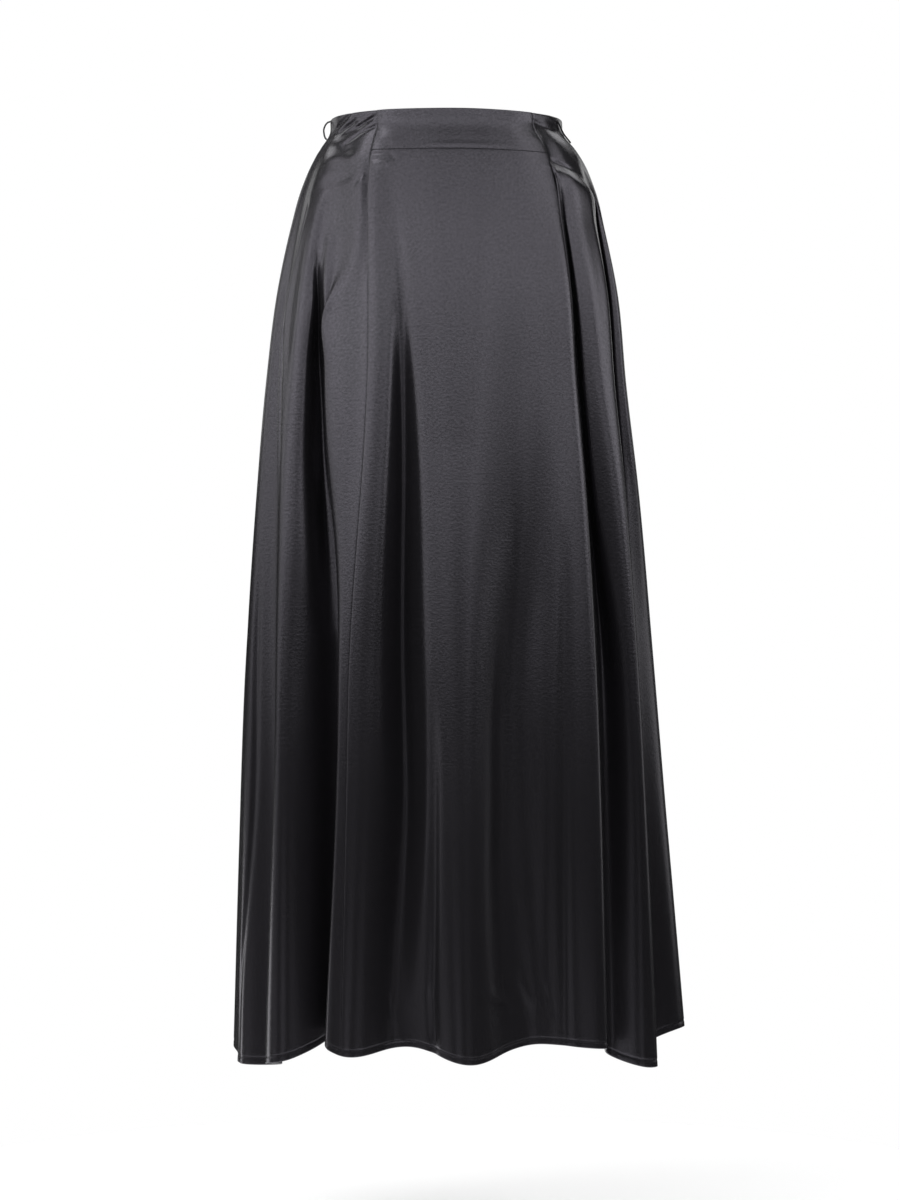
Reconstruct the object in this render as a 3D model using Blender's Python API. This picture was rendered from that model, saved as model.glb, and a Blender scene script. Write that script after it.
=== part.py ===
"""Satin maxi skirt in the hollow form it has when it is worn.

The frame is in metres with +Z up. The wearer faces -Y, so the wearer's left is at +X.
The origin is on the waist's axis, half way down the front waistband.

The cloth is one surface round the body. Level sections give its plain form, and a table
of fold lines, one row for each crest, trough or seam, bends that form in and out. The
pieces are cut from this surface along the seam lines and are thickened on both sides.
"""

import math
from dataclasses import dataclass

import bmesh
import bpy
import numpy as np

# --------------------------------------------------------------------------------------
# Driving dimensions, in metres unless a name says degrees or mm
# --------------------------------------------------------------------------------------

SKIRT_LENGTH = 0.973
BAND_HEIGHT = 0.042
WAIST_RISE = BAND_HEIGHT / 2
SEAM_GAP = 0.0003
CLOTH_THICKNESS = 0.0012
BAND_THICKNESS = 0.0020
MM = 0.001

# How the hem's dips spread up the skirt: at half its length a dip is 1/16 of its full depth.
DIP_POWER = 4

# The mesh's spacing: columns are this wide at the hem, and rows are closer near the waist.
COLUMN_WIDTH = 0.0160
BAND_ROWS = 3
SKIRT_ROWS = 19
ROW_CROWDING = 1.25

# The step over which the surface's directions are measured.
PROBE = 0.0010

# Gathers: soft waves in the side fronts, and closer ones in the elastic back waistband.
# The back's grow to their full depth over the first two from each seam.
SIDE_GATHERS = 6
SIDE_GATHER_DEPTH = 0.0010
SIDE_GATHER_DROP = 0.075
BACK_GATHERS = 34
BACK_GATHER_DEPTH = 0.0012
BACK_GATHER_DRIFT = 0.012
SEAM_GATHERS = 2.0
COLUMNS_A_GATHER = 4

# Carriers: thin loops of cord at the two sides of the waist.
CARRIER_RADIUS = 0.0009
CARRIER_POINTS = 13

SATIN_COLOUR = (0.034, 0.033, 0.037)
BAND_COLOUR = (0.046, 0.045, 0.050)
CARRIER_COLOUR = (0.020, 0.019, 0.022)
SATIN_ROUGHNESS = 0.36
CARRIER_ROUGHNESS = 0.30
METALLIC = 0.0


@dataclass(frozen=True)
class Section:
    """A level cut through the plain form, before the folds bend it.

    Attributes:
        drop: How far the cut is below the top edge.
        right: From the axis to the wearer's right side.
        left: From the axis to the wearer's left side.
        front: From the axis to the centre front.
        back: From the axis to the centre back.
    """

    drop: float
    right: float
    left: float
    front: float
    back: float


@dataclass(frozen=True)
class Fold:
    """A line that runs from waist to hem along a crest, a trough or a seam.

    Attributes:
        name: What the line follows.
        waist: Degrees round from the centre front towards the wearer's left, at the waist.
        hip: The same at the hip.
        knee: The same at the knee.
        hem: The same at the hem.
        out_hip: Millimetres that the line stands out of the plain form at the hip.
        out_knee: The same at the knee.
        out_hem: The same at the hem.
        dip: Millimetres that the hem hangs below the skirt's length on this line.
    """

    name: str
    waist: float
    hip: float
    knee: float
    hem: float
    out_hip: float
    out_knee: float
    out_hem: float
    dip: float


@dataclass(frozen=True)
class Piece:
    """A piece of cloth between two seam lines, and between two levels.

    Attributes:
        name: The object's name.
        first: The fold line where the piece starts.
        last: The fold line where it ends, going towards the wearer's left.
        banded: Whether a waistband takes its top, so that it starts below the band.
    """

    name: str
    first: str
    last: str
    banded: bool


@dataclass(frozen=True)
class Carrier:
    """A loop of cord sewn on at both ends.

    Attributes:
        name: The object's name.
        panel: The panel that it is sewn to.
        top_turn: Degrees round from the centre front at its upper end.
        top_drop: How far its upper end is below the top edge.
        bottom_turn: Degrees round at its lower end.
        bottom_drop: How far its lower end is below the top edge.
        seat: How far the centre of each end is off the cloth's face.
        stand: How far its middle stands out past its ends.
    """

    name: str
    panel: str
    top_turn: float
    top_drop: float
    bottom_turn: float
    bottom_drop: float
    seat: float
    stand: float


SECTIONS = (
    #       drop   right   left    front   back
    Section(0.000, 0.1230, 0.1225, 0.0930, 0.0880),
    Section(0.015, 0.1236, 0.1245, 0.0940, 0.0905),
    Section(0.030, 0.1328, 0.1370, 0.0970, 0.0955),
    Section(0.045, 0.1415, 0.1465, 0.1000, 0.1015),
    Section(0.075, 0.1540, 0.1580, 0.1055, 0.1110),
    Section(0.115, 0.1645, 0.1665, 0.1125, 0.1230),
    Section(0.180, 0.1775, 0.1785, 0.1215, 0.1370),
    Section(0.280, 0.1890, 0.1860, 0.1330, 0.1495),
    Section(0.400, 0.1980, 0.1975, 0.1460, 0.1600),
    Section(0.570, 0.2075, 0.2080, 0.1620, 0.1730),
    Section(0.770, 0.2120, 0.2150, 0.1780, 0.1870),
    Section(SKIRT_LENGTH, 0.2150, 0.2200, 0.1920, 0.2000),
)

# The levels of a fold line's four turns and of its stands.
FOLD_LEVELS = (0.0, 0.150, 0.600, SKIRT_LENGTH)

FOLDS = (
    #    name                   waist   hip    knee   hem    out: hip knee  hem   dip
    Fold("right_side_seam", -90.0, -92.0, -90.0, -89.0, 1.0, 5.0, 6.0, 18.0),
    Fold("right_side_crest", -86.0, -84.0, -79.0, -77.0, 2.0, 7.0, 10.0, 21.0),
    Fold("right_side_trough", -82.0, -78.0, -66.0, -65.0, -3.0, -11.0, -17.0, 18.0),
    Fold("right_flute_edge", -78.0, -72.0, -56.0, -57.0, 4.0, 11.0, 15.0, 11.0),
    Fold("right_flute_crest", -71.0, -60.0, -51.0, -49.5, 5.0, 12.0, 17.0, 5.0),
    Fold("right_front_trough", -63.0, -51.0, -44.0, -43.0, -1.0, -15.0, -32.0, -20.0),
    Fold("right_front_edge", -52.0, -39.5, -36.0, -36.5, 2.0, 9.0, 15.0, -9.0),
    Fold("right_pleat", -43.0, -34.0, -34.0, -34.5, -2.0, 9.5, 14.0, -6.0),
    Fold("right_front_seam", -40.5, -31.8, -31.5, -32.5, 2.0, 9.0, 13.0, -4.0),
    Fold("front_trough_right", -28.0, -21.0, -17.5, -15.0, -1.0, -7.0, -13.0, -12.0),
    Fold("front_crest_centre", -2.0, -1.0, -0.5, 0.5, 2.0, 7.0, 14.0, 2.0),
    Fold("front_trough_left", 22.0, 22.0, 17.5, 21.0, 0.0, -8.0, -15.0, -12.0),
    Fold("front_crest_left", 31.0, 32.0, 30.0, 32.0, 2.0, 5.0, 4.0, -9.0),
    Fold("left_front_edge", 40.0, 40.0, 40.0, 39.5, 3.0, 11.0, 13.0, -6.0),
    Fold("left_front_seam", 43.0, 42.0, 42.0, 42.0, 2.0, 6.0, 7.0, -5.0),
    Fold("left_pleat", 45.5, 44.0, 45.0, 46.0, -2.0, -4.0, -7.0, -1.0),
    Fold("left_front_trough", 50.0, 48.0, 51.0, 52.0, -1.0, -14.0, -18.0, 8.0),
    Fold("left_flute_crest", 57.0, 55.0, 56.0, 57.0, 4.0, 12.0, 14.0, 20.0),
    Fold("left_flute_edge", 65.0, 62.5, 61.0, 64.0, 4.0, 12.0, 15.0, 21.0),
    Fold("left_side_trough", 76.0, 72.0, 71.0, 74.0, -4.0, -8.0, -10.0, 10.0),
    Fold("left_side_seam", 90.0, 86.0, 86.0, 86.0, 2.0, 12.0, 32.0, -8.0),
    Fold("left_side_crest", 96.0, 92.0, 91.0, 93.0, 1.0, 9.0, 30.0, -6.0),
    Fold("back_trough_1", 105.0, 102.0, 101.0, 104.0, -2.0, -8.0, -12.0, -2.0),
    Fold("back_crest_1", 115.0, 114.0, 112.0, 113.0, 3.0, 10.0, 16.0, 6.0),
    Fold("back_trough_2", 129.0, 128.0, 127.0, 126.0, -2.0, -8.0, -18.0, 0.0),
    Fold("back_crest_2", 144.0, 143.0, 141.0, 140.0, 3.0, 9.0, 15.0, 4.0),
    Fold("back_trough_3", 158.0, 158.0, 157.0, 156.0, -1.0, -7.0, -14.0, -3.0),
    Fold("back_crest_3", 172.0, 172.0, 171.0, 170.0, 2.0, 8.0, 14.0, 2.0),
    Fold("back_trough_4", 187.0, 188.0, 189.0, 187.0, -1.0, -8.0, -17.0, -4.0),
    Fold("back_crest_4", 201.0, 202.0, 204.0, 203.0, 2.0, 10.0, 16.0, 3.0),
    Fold("back_trough_5", 216.0, 217.0, 218.0, 219.0, -2.0, -9.0, -18.0, 0.0),
    Fold("back_crest_5", 230.0, 231.0, 232.0, 234.0, 3.0, 10.0, 17.0, 8.0),
    Fold("back_trough_6", 245.0, 246.0, 248.0, 249.0, -2.0, -9.0, -14.0, 8.0),
    Fold("back_crest_6", 258.0, 257.0, 259.0, 260.0, 1.0, 6.0, 11.0, 12.0),
)

PANELS = (
    Piece("front_panel", "right_front_seam", "left_front_seam", True),
    Piece("side_front_left", "left_front_seam", "left_side_seam", False),
    Piece("back_panel", "left_side_seam", "right_side_seam", True),
    Piece("side_front_right", "right_side_seam", "right_front_seam", False),
)
FRONT_BAND = Piece("front_waistband", "right_front_seam", "left_front_seam", False)
BACK_BAND = Piece("back_waistband", "left_side_seam", "right_side_seam", False)

CARRIERS = (
    #        name and panel               top: turn, drop  bottom: turn, drop  seat    stand
    Carrier("carrier_right", "side_front_right", -90.0, 0.0020, -90.0, 0.0215, 0.0004, 0.0074),
    Carrier("carrier_left", "side_front_left", 66.0, 0.0040, 82.0, 0.0240, 0.0014, 0.0012),
)


# --------------------------------------------------------------------------------------
# Curves
# --------------------------------------------------------------------------------------


def hermite(knots, values, slopes, places):
    """Return the cubic curve through values at knots, with the given slopes.

    Args:
        knots: Where the values are, rising.
        values: One value or row of values for each knot.
        slopes: The curve's slope at each knot, shaped as values.
        places: Where the curve is read.
    """
    gap = np.clip(np.searchsorted(knots, places, side="right") - 1, 0, len(knots) - 2)
    width = (knots[gap + 1] - knots[gap]).reshape(-1, *([1] * (values.ndim - 1)))
    part = (places - knots[gap]).reshape(width.shape) / width
    rest = 1.0 - part
    start = values[gap] * (1.0 + 2.0 * part) * rest**2 + slopes[gap] * width * part * rest**2
    end = values[gap + 1] * (3.0 - 2.0 * part) * part**2
    return start + end - slopes[gap + 1] * width * rest * part**2


def smooth_table(knots, values, places):
    """Return a table's columns at places, on smooth curves through its rows."""
    slopes = np.gradient(values, knots, axis=0)
    return hermite(knots, values, slopes, places)


def closed_slopes(knots, values):
    """Return the slopes of the smoothest closed curve through values.

    Args:
        knots: One more than the values, where the last closes the curve.
        values: One row for each place round the curve.
    """
    count = len(values)
    after = np.diff(knots)
    before = np.roll(after, 1)
    rise_after = (np.roll(values, -1, axis=0) - values) / after[:, None]
    rise_before = np.roll(rise_after, 1, axis=0)
    matrix = np.diag(2.0 * (before + after))
    for index in range(count):
        matrix[index, index - 1] += after[index]
        matrix[index, (index + 1) % count] += before[index]
    pull = 3.0 * (after[:, None] * rise_before + before[:, None] * rise_after)
    return np.linalg.solve(matrix, pull)


def unit(vectors):
    """Return vectors at length one."""
    return vectors / np.linalg.norm(vectors, axis=-1, keepdims=True)


# --------------------------------------------------------------------------------------
# The skirt's surface
# --------------------------------------------------------------------------------------


class SkirtForm:
    """The cloth's middle surface, read at a place round the skirt and a drop.

    A place is measured along the hem, from the first fold line towards the wearer's left.
    """

    def __init__(self, sections, folds):
        self.names = [fold.name for fold in folds]
        self.section_drops = np.array([row.drop for row in sections])
        self.section_sizes = np.array(
            [(row.right, row.left, row.front, row.back) for row in sections]
        )
        self.turns = np.array([(row.waist, row.hip, row.knee, row.hem) for row in folds]).T
        self.stands = np.array([(0.0, row.out_hip, row.out_knee, row.out_hem) for row in folds]).T
        self.dips = np.array([row.dip for row in folds]) * MM
        hem_points = self.fold_points(np.array([SKIRT_LENGTH]))[0]
        chords = np.linalg.norm(np.roll(hem_points, -1, axis=0) - hem_points, axis=1)
        self.knots = np.concatenate([[0.0], np.cumsum(chords)])

    def fold_points(self, drops):
        """Return where each fold line is at each drop, as rows by folds by XYZ."""
        levels = np.array(FOLD_LEVELS)
        turns = np.radians(smooth_table(levels, self.turns, drops))
        stands = smooth_table(levels, self.stands, drops) * MM
        sizes = smooth_table(self.section_drops, self.section_sizes, drops)
        half_width = np.where(np.sin(turns) < 0.0, sizes[:, 0:1], sizes[:, 1:2])
        depth = np.where(np.cos(turns) > 0.0, sizes[:, 2:3], sizes[:, 3:4])
        out_x = np.sin(turns) / half_width
        out_y = -np.cos(turns) / depth
        length = np.hypot(out_x, out_y)
        x = half_width * np.sin(turns) + stands * out_x / length
        y = -depth * np.cos(turns) + stands * out_y / length
        share = (drops / SKIRT_LENGTH)[:, None] ** DIP_POWER
        z = WAIST_RISE - drops[:, None] - self.dips * share
        return np.stack([x, y, z], axis=2)

    def points(self, places, drops):
        """Return the surface's points, as rows by places by XYZ."""
        lines = self.fold_points(drops)
        rows, folds = lines.shape[:2]
        values = lines.transpose(1, 0, 2).reshape(folds, rows * 3)
        slopes = closed_slopes(self.knots, values)
        values = np.vstack([values, values[:1]])
        slopes = np.vstack([slopes, slopes[:1]])
        around = hermite(self.knots, values, slopes, places % self.knots[-1])
        return around.reshape(len(places), rows, 3).transpose(1, 0, 2)

    def along(self, places, drops):
        """Return the directions round the skirt, towards the wearer's left."""
        return unit(self.points(places + PROBE, drops) - self.points(places - PROBE, drops))

    def outward(self, places, drops):
        """Return the directions straight out of the cloth."""
        down = self.points(places, drops + PROBE) - self.points(places, drops - PROBE)
        return unit(np.cross(down, self.along(places, drops)))

    def place_of(self, name):
        """Return the place of a fold line."""
        return self.knots[self.names.index(name)]

    def places_at(self, turns):
        """Return the places of turns that are measured at the waist, in degrees."""
        return np.interp(turns, self.turns[0], self.knots[:-1])

    def span(self, piece):
        """Return the places where a piece starts and ends."""
        start = self.place_of(piece.first)
        end = self.place_of(piece.last)
        return start, end if end > start else end + self.knots[-1]

    def share(self, piece, places):
        """Return how far across a piece each place is, from 0 to 1."""
        start, end = self.span(piece)
        return ((places - start) % self.knots[-1]) / (end - start)

    def columns(self, piece):
        """Return a piece's columns: every fold line in it, and even steps between them."""
        start, end = self.span(piece)
        lines = np.concatenate([self.knots[:-1], self.knots + self.knots[-1]])
        inside = lines[(lines >= start) & (lines <= end)]
        places = [start]
        for left, right in zip(inside[:-1], inside[1:]):
            steps = max(1, round((right - left) / COLUMN_WIDTH))
            places.extend(np.linspace(left, right, steps + 1)[1:])
        return np.array(places)


# --------------------------------------------------------------------------------------
# Levels and gathers
# --------------------------------------------------------------------------------------


def band_drops():
    """Return the levels of a waistband, which ends half a seam gap above the seam."""
    return np.linspace(0.0, BAND_HEIGHT - SEAM_GAP / 2, BAND_ROWS + 1)


def skirt_drops():
    """Return the levels below the band, which start half a seam gap below the seam."""
    steps = np.linspace(0.0, 1.0, SKIRT_ROWS + 1) ** ROW_CROWDING
    top = BAND_HEIGHT + SEAM_GAP / 2
    return top + (SKIRT_LENGTH - top) * steps


def panel_drops(piece):
    """Return a panel's levels, with the band's own where no waistband takes them."""
    if piece.banded:
        return skirt_drops()
    return np.concatenate([band_drops()[:-1], skirt_drops()])


def side_gathers(form, piece, places, drops):
    """Return how far a side front's soft gathers stand out, fading out below the waist."""
    part = form.share(piece, places)
    wave = np.sin(2.0 * math.pi * SIDE_GATHERS * part) * np.sin(math.pi * part)
    fade = np.clip(1.0 - drops / SIDE_GATHER_DROP, 0.0, 1.0)
    depth = 0.0 if piece.banded else SIDE_GATHER_DEPTH
    return depth * fade[:, None] * wave[None, :]


def back_gathers(form, piece, places, drops):
    """Return how far the elastic band's gathers stand out, uneven, and flat at the seams."""
    part = form.share(piece, places)
    uneven = part + BACK_GATHER_DRIFT * np.sin(2.0 * math.pi * part) ** 2
    wave = np.sin(2.0 * math.pi * BACK_GATHERS * uneven)
    from_seam = np.minimum(part, 1.0 - part) * BACK_GATHERS
    fullness = np.clip(from_seam / SEAM_GATHERS, 0.0, 1.0)
    return BACK_GATHER_DEPTH * np.ones(len(drops))[:, None] * (wave * fullness)[None, :]


# --------------------------------------------------------------------------------------
# Objects
# --------------------------------------------------------------------------------------


def make_material(name, colour, roughness):
    """Return a Principled material for one piece."""
    material = bpy.data.materials.new(name)
    material.use_nodes = True
    shader = material.node_tree.nodes["Principled BSDF"]
    shader.inputs["Base Color"].default_value = (*colour, 1.0)
    shader.inputs["Roughness"].default_value = roughness
    shader.inputs["Metallic"].default_value = METALLIC
    material.diffuse_color = (*colour, 1.0)
    return material


def wall_sides(form, places, drops, stands, thickness):
    """Return a wall's outer and inner points, cut back by half a gap at both seams."""
    middle = form.points(places, drops)
    along = form.along(places, drops)
    outward = form.outward(places, drops)
    middle[:, 0] += along[:, 0] * SEAM_GAP / 2
    middle[:, -1] -= along[:, -1] * SEAM_GAP / 2
    outer = middle + outward * (stands[:, :, None] + thickness / 2)
    inner = middle + outward * (stands[:, :, None] - thickness / 2)
    return outer, inner


def make_wall(name, outer, inner, colour, collection):
    """Make a closed wall between two grids of points.

    A grid is laid on the outer points and split into triangles, and then extruded to the
    inner points, so that both sides of the wall have the same triangles.
    """
    rows, columns = outer.shape[:2]
    model = bmesh.new()
    row_of = model.verts.layers.int.new("row")
    column_of = model.verts.layers.int.new("column")
    bmesh.ops.create_grid(model, x_segments=columns - 1, y_segments=rows - 1, size=1.0)
    for vert in model.verts:
        column = round((vert.co.x + 1.0) / 2.0 * (columns - 1))
        row = round((1.0 - vert.co.y) / 2.0 * (rows - 1))
        vert[row_of] = row
        vert[column_of] = column
        vert.co = outer[row, column]
    bmesh.ops.triangulate(model, faces=model.faces[:], quad_method="SHORT_EDGE")
    grown = bmesh.ops.extrude_face_region(model, geom=model.faces[:])
    for vert in grown["geom"]:
        if isinstance(vert, bmesh.types.BMVert):
            vert.co = inner[vert[row_of], vert[column_of]]
    bmesh.ops.recalc_face_normals(model, faces=model.faces[:])
    mesh = bpy.data.meshes.new(name)
    model.to_mesh(mesh)
    model.free()
    mesh.shade_smooth()
    mesh.materials.append(make_material(name, colour, SATIN_ROUGHNESS))
    wall = bpy.data.objects.new(name, mesh)
    collection.objects.link(wall)
    return wall


def make_panel(form, piece, collection):
    """Make one panel of the skirt."""
    places = form.columns(piece)
    drops = panel_drops(piece)
    stands = side_gathers(form, piece, places, drops)
    outer, inner = wall_sides(form, places, drops, stands, CLOTH_THICKNESS)
    return make_wall(piece.name, outer, inner, SATIN_COLOUR, collection)


def make_front_band(form, collection):
    """Make the flat front waistband, which is thicker than the cloth."""
    places = form.columns(FRONT_BAND)
    drops = band_drops()
    stands = np.zeros((len(drops), len(places)))
    outer, inner = wall_sides(form, places, drops, stands, BAND_THICKNESS)
    return make_wall(FRONT_BAND.name, outer, inner, BAND_COLOUR, collection)


def make_back_band(form, collection):
    """Make the elastic back waistband, gathered into small waves."""
    start, end = form.span(BACK_BAND)
    places = np.linspace(start, end, BACK_GATHERS * COLUMNS_A_GATHER + 1)
    drops = band_drops()
    stands = back_gathers(form, BACK_BAND, places, drops)
    outer, inner = wall_sides(form, places, drops, stands, CLOTH_THICKNESS)
    return make_wall(BACK_BAND.name, outer, inner, BAND_COLOUR, collection)


def cloth_face(form, piece, place, drop):
    """Return a point on a panel's middle between its rows, and the way out of it."""
    rows = panel_drops(piece)
    places = np.array([place])
    outward = form.outward(places, rows)[:, 0]
    stands = side_gathers(form, piece, places, rows)
    points = form.points(places, rows)[:, 0] + outward * stands
    foot = np.array([np.interp(drop, rows, points[:, axis]) for axis in range(3)])
    return foot, form.outward(places, np.array([drop]))[0, 0]


def make_carrier(carrier, form, collection):
    """Make a carrier: half an oval of cord, with both its ends on the cloth."""
    piece = next(panel for panel in PANELS if panel.name == carrier.panel)
    sweep = np.linspace(0.0, math.pi, CARRIER_POINTS)
    share = (1.0 - np.cos(sweep)) / 2.0
    ends = form.places_at(np.array([carrier.top_turn, carrier.bottom_turn]))
    places = ends[0] + (ends[1] - ends[0]) * share
    drops = carrier.top_drop + (carrier.bottom_drop - carrier.top_drop) * share
    curve = bpy.data.curves.new(carrier.name, "CURVE")
    curve.dimensions = "3D"
    curve.bevel_depth = CARRIER_RADIUS
    curve.bevel_resolution = 2
    curve.use_fill_caps = True
    spline = curve.splines.new("POLY")
    spline.points.add(CARRIER_POINTS - 1)
    for point, angle, place, drop in zip(spline.points, sweep, places, drops):
        foot, outward = cloth_face(form, piece, place, drop)
        stand = CLOTH_THICKNESS / 2 + carrier.seat + carrier.stand * math.sin(angle)
        point.co = (*(foot + outward * stand), 1.0)
    curve.materials.append(make_material(carrier.name, CARRIER_COLOUR, CARRIER_ROUGHNESS))
    loop = bpy.data.objects.new(carrier.name, curve)
    collection.objects.link(loop)
    return loop


def clear_scene():
    """Remove every object of the scene that the script starts in."""
    for thing in list(bpy.data.objects):
        bpy.data.objects.remove(thing, do_unlink=True)


def main():
    """Build the skirt's pieces in a collection of their own."""
    clear_scene()
    collection = bpy.data.collections.new("maxi_skirt")
    bpy.context.scene.collection.children.link(collection)
    form = SkirtForm(SECTIONS, FOLDS)
    for piece in PANELS:
        make_panel(form, piece, collection)
    make_front_band(form, collection)
    make_back_band(form, collection)
    for carrier in CARRIERS:
        make_carrier(carrier, form, collection)


main()
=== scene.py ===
"""Satin maxi skirt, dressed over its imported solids.

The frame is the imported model's own: metres, +Z up, the wearer facing -Y with the left side
at +X, and the origin on the waist's axis half way down the front waistband.

The cloth follows the same surface as the solids: level sections give its plain form, and a
table of fold lines bends it. Here it is read much more closely, turned in at its edges, and
given the fine folds, wrinkles, gathers, hem and stitches that the plain solids leave out.
"""

import logging
import math
import random
from dataclasses import dataclass
from enum import Enum

import bmesh
import bpy
import numpy as np
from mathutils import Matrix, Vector


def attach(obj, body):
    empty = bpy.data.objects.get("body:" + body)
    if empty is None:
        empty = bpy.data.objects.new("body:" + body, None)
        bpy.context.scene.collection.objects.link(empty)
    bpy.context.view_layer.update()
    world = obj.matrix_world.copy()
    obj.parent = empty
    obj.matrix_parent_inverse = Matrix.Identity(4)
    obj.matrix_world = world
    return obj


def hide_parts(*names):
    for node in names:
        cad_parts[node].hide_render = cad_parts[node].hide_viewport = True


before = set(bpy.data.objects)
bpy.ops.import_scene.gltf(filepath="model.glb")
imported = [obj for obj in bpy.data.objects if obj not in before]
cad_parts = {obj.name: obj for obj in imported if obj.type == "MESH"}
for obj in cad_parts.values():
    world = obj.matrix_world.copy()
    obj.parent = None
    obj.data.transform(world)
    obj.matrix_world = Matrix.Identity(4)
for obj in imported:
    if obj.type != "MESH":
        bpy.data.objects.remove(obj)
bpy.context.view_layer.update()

LOG = logging.getLogger("maxi_skirt")

# Lengths are in metres, unless a name or a table says otherwise.
MM = 0.001
SKIRT_LENGTH = 0.973
BAND_HEIGHT = 0.042
WAIST_RISE = BAND_HEIGHT / 2
CLOTH = 0.0006

# Between two sheets at a seam, and the step over which directions on the surface are read.
SEAM_GAP = 0.0003
PROBE = 0.0010

# How late on the way down the hem's dips set in.
DIP_POWER = 4

# How level a cord has to run for its sides to be level too.
NEAR_UPRIGHT = 0.05


class Slot(Enum):
    """The record's material slots."""

    SATIN = "satin"
    BAND = "waistband_satin"
    CARRIER = "carrier_satin"


# ---- Tables of the form ----


@dataclass(frozen=True)
class Section:
    """A level cut through the plain form, with its reach to each side.

    Attributes:
        drop: How far it is below the top edge.
        right: Its half width on the wearer's right.
        left: Its half width on the wearer's left.
        front: Its half depth in front.
        back: Its half depth behind.
    """

    drop: float
    right: float
    left: float
    front: float
    back: float


@dataclass(frozen=True)
class Fold:
    """A line from waist to hem along a crest, a trough or a seam.

    Attributes:
        name: What the line follows.
        turns: Degrees round from the centre front towards the wearer's left, at the waist,
            hip, knee and hem.
        stands: Millimetres out of the plain form at the hip, knee and hem.
        dip: Millimetres that the hem hangs below the skirt's length on this line.
        sway: Degrees that the line swings aside at the thigh.
        spread: Degrees that gathering moves the line round at the waist and hip.
    """

    name: str
    turns: tuple[float, float, float, float]
    stands: tuple[float, float, float]
    dip: float
    sway: float = 0.0
    spread: tuple[float, float] = (0.0, 0.0)


@dataclass(frozen=True)
class Crease:
    """A long soft ridge or trough that runs down the cloth between the fold lines.

    Attributes:
        name: What the line follows.
        knots: Rows of drop, place along the hem, how far it stands out of the cloth, and how
            far from its line it has mostly gone, before and after the line. Millimetres.
        turn: Degrees round of the way that it stands out, or None for straight out of the cloth.
    """

    name: str
    knots: tuple[tuple[float, float, float, float, float], ...]
    turn: float | None = None


SECTIONS = (
    Section(0.000, 0.1230, 0.1225, 0.0930, 0.0880),
    Section(0.015, 0.1236, 0.1245, 0.0940, 0.0905),
    Section(0.030, 0.1328, 0.1370, 0.0970, 0.0955),
    Section(0.045, 0.1415, 0.1465, 0.1000, 0.1015),
    Section(0.075, 0.1540, 0.1580, 0.1055, 0.1110),
    Section(0.115, 0.1645, 0.1665, 0.1125, 0.1230),
    Section(0.180, 0.1775, 0.1785, 0.1215, 0.1370),
    Section(0.280, 0.1890, 0.1860, 0.1330, 0.1495),
    Section(0.400, 0.1980, 0.1975, 0.1460, 0.1600),
    Section(0.570, 0.2075, 0.2080, 0.1620, 0.1730),
    Section(0.770, 0.2120, 0.2150, 0.1780, 0.1870),
    Section(SKIRT_LENGTH, 0.2150, 0.2200, 0.1920, 0.2000),
)

# The drops that the folds' values are for, and where and how far the thigh's sway reaches.
FOLD_LEVELS = (0.0, 0.150, 0.600, SKIRT_LENGTH)
SWAY_DROP = 0.345
SWAY_REACH = 0.110
SPREAD_LEVELS = (0.0, 0.165, 0.215, 0.265, SKIRT_LENGTH)

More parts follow.
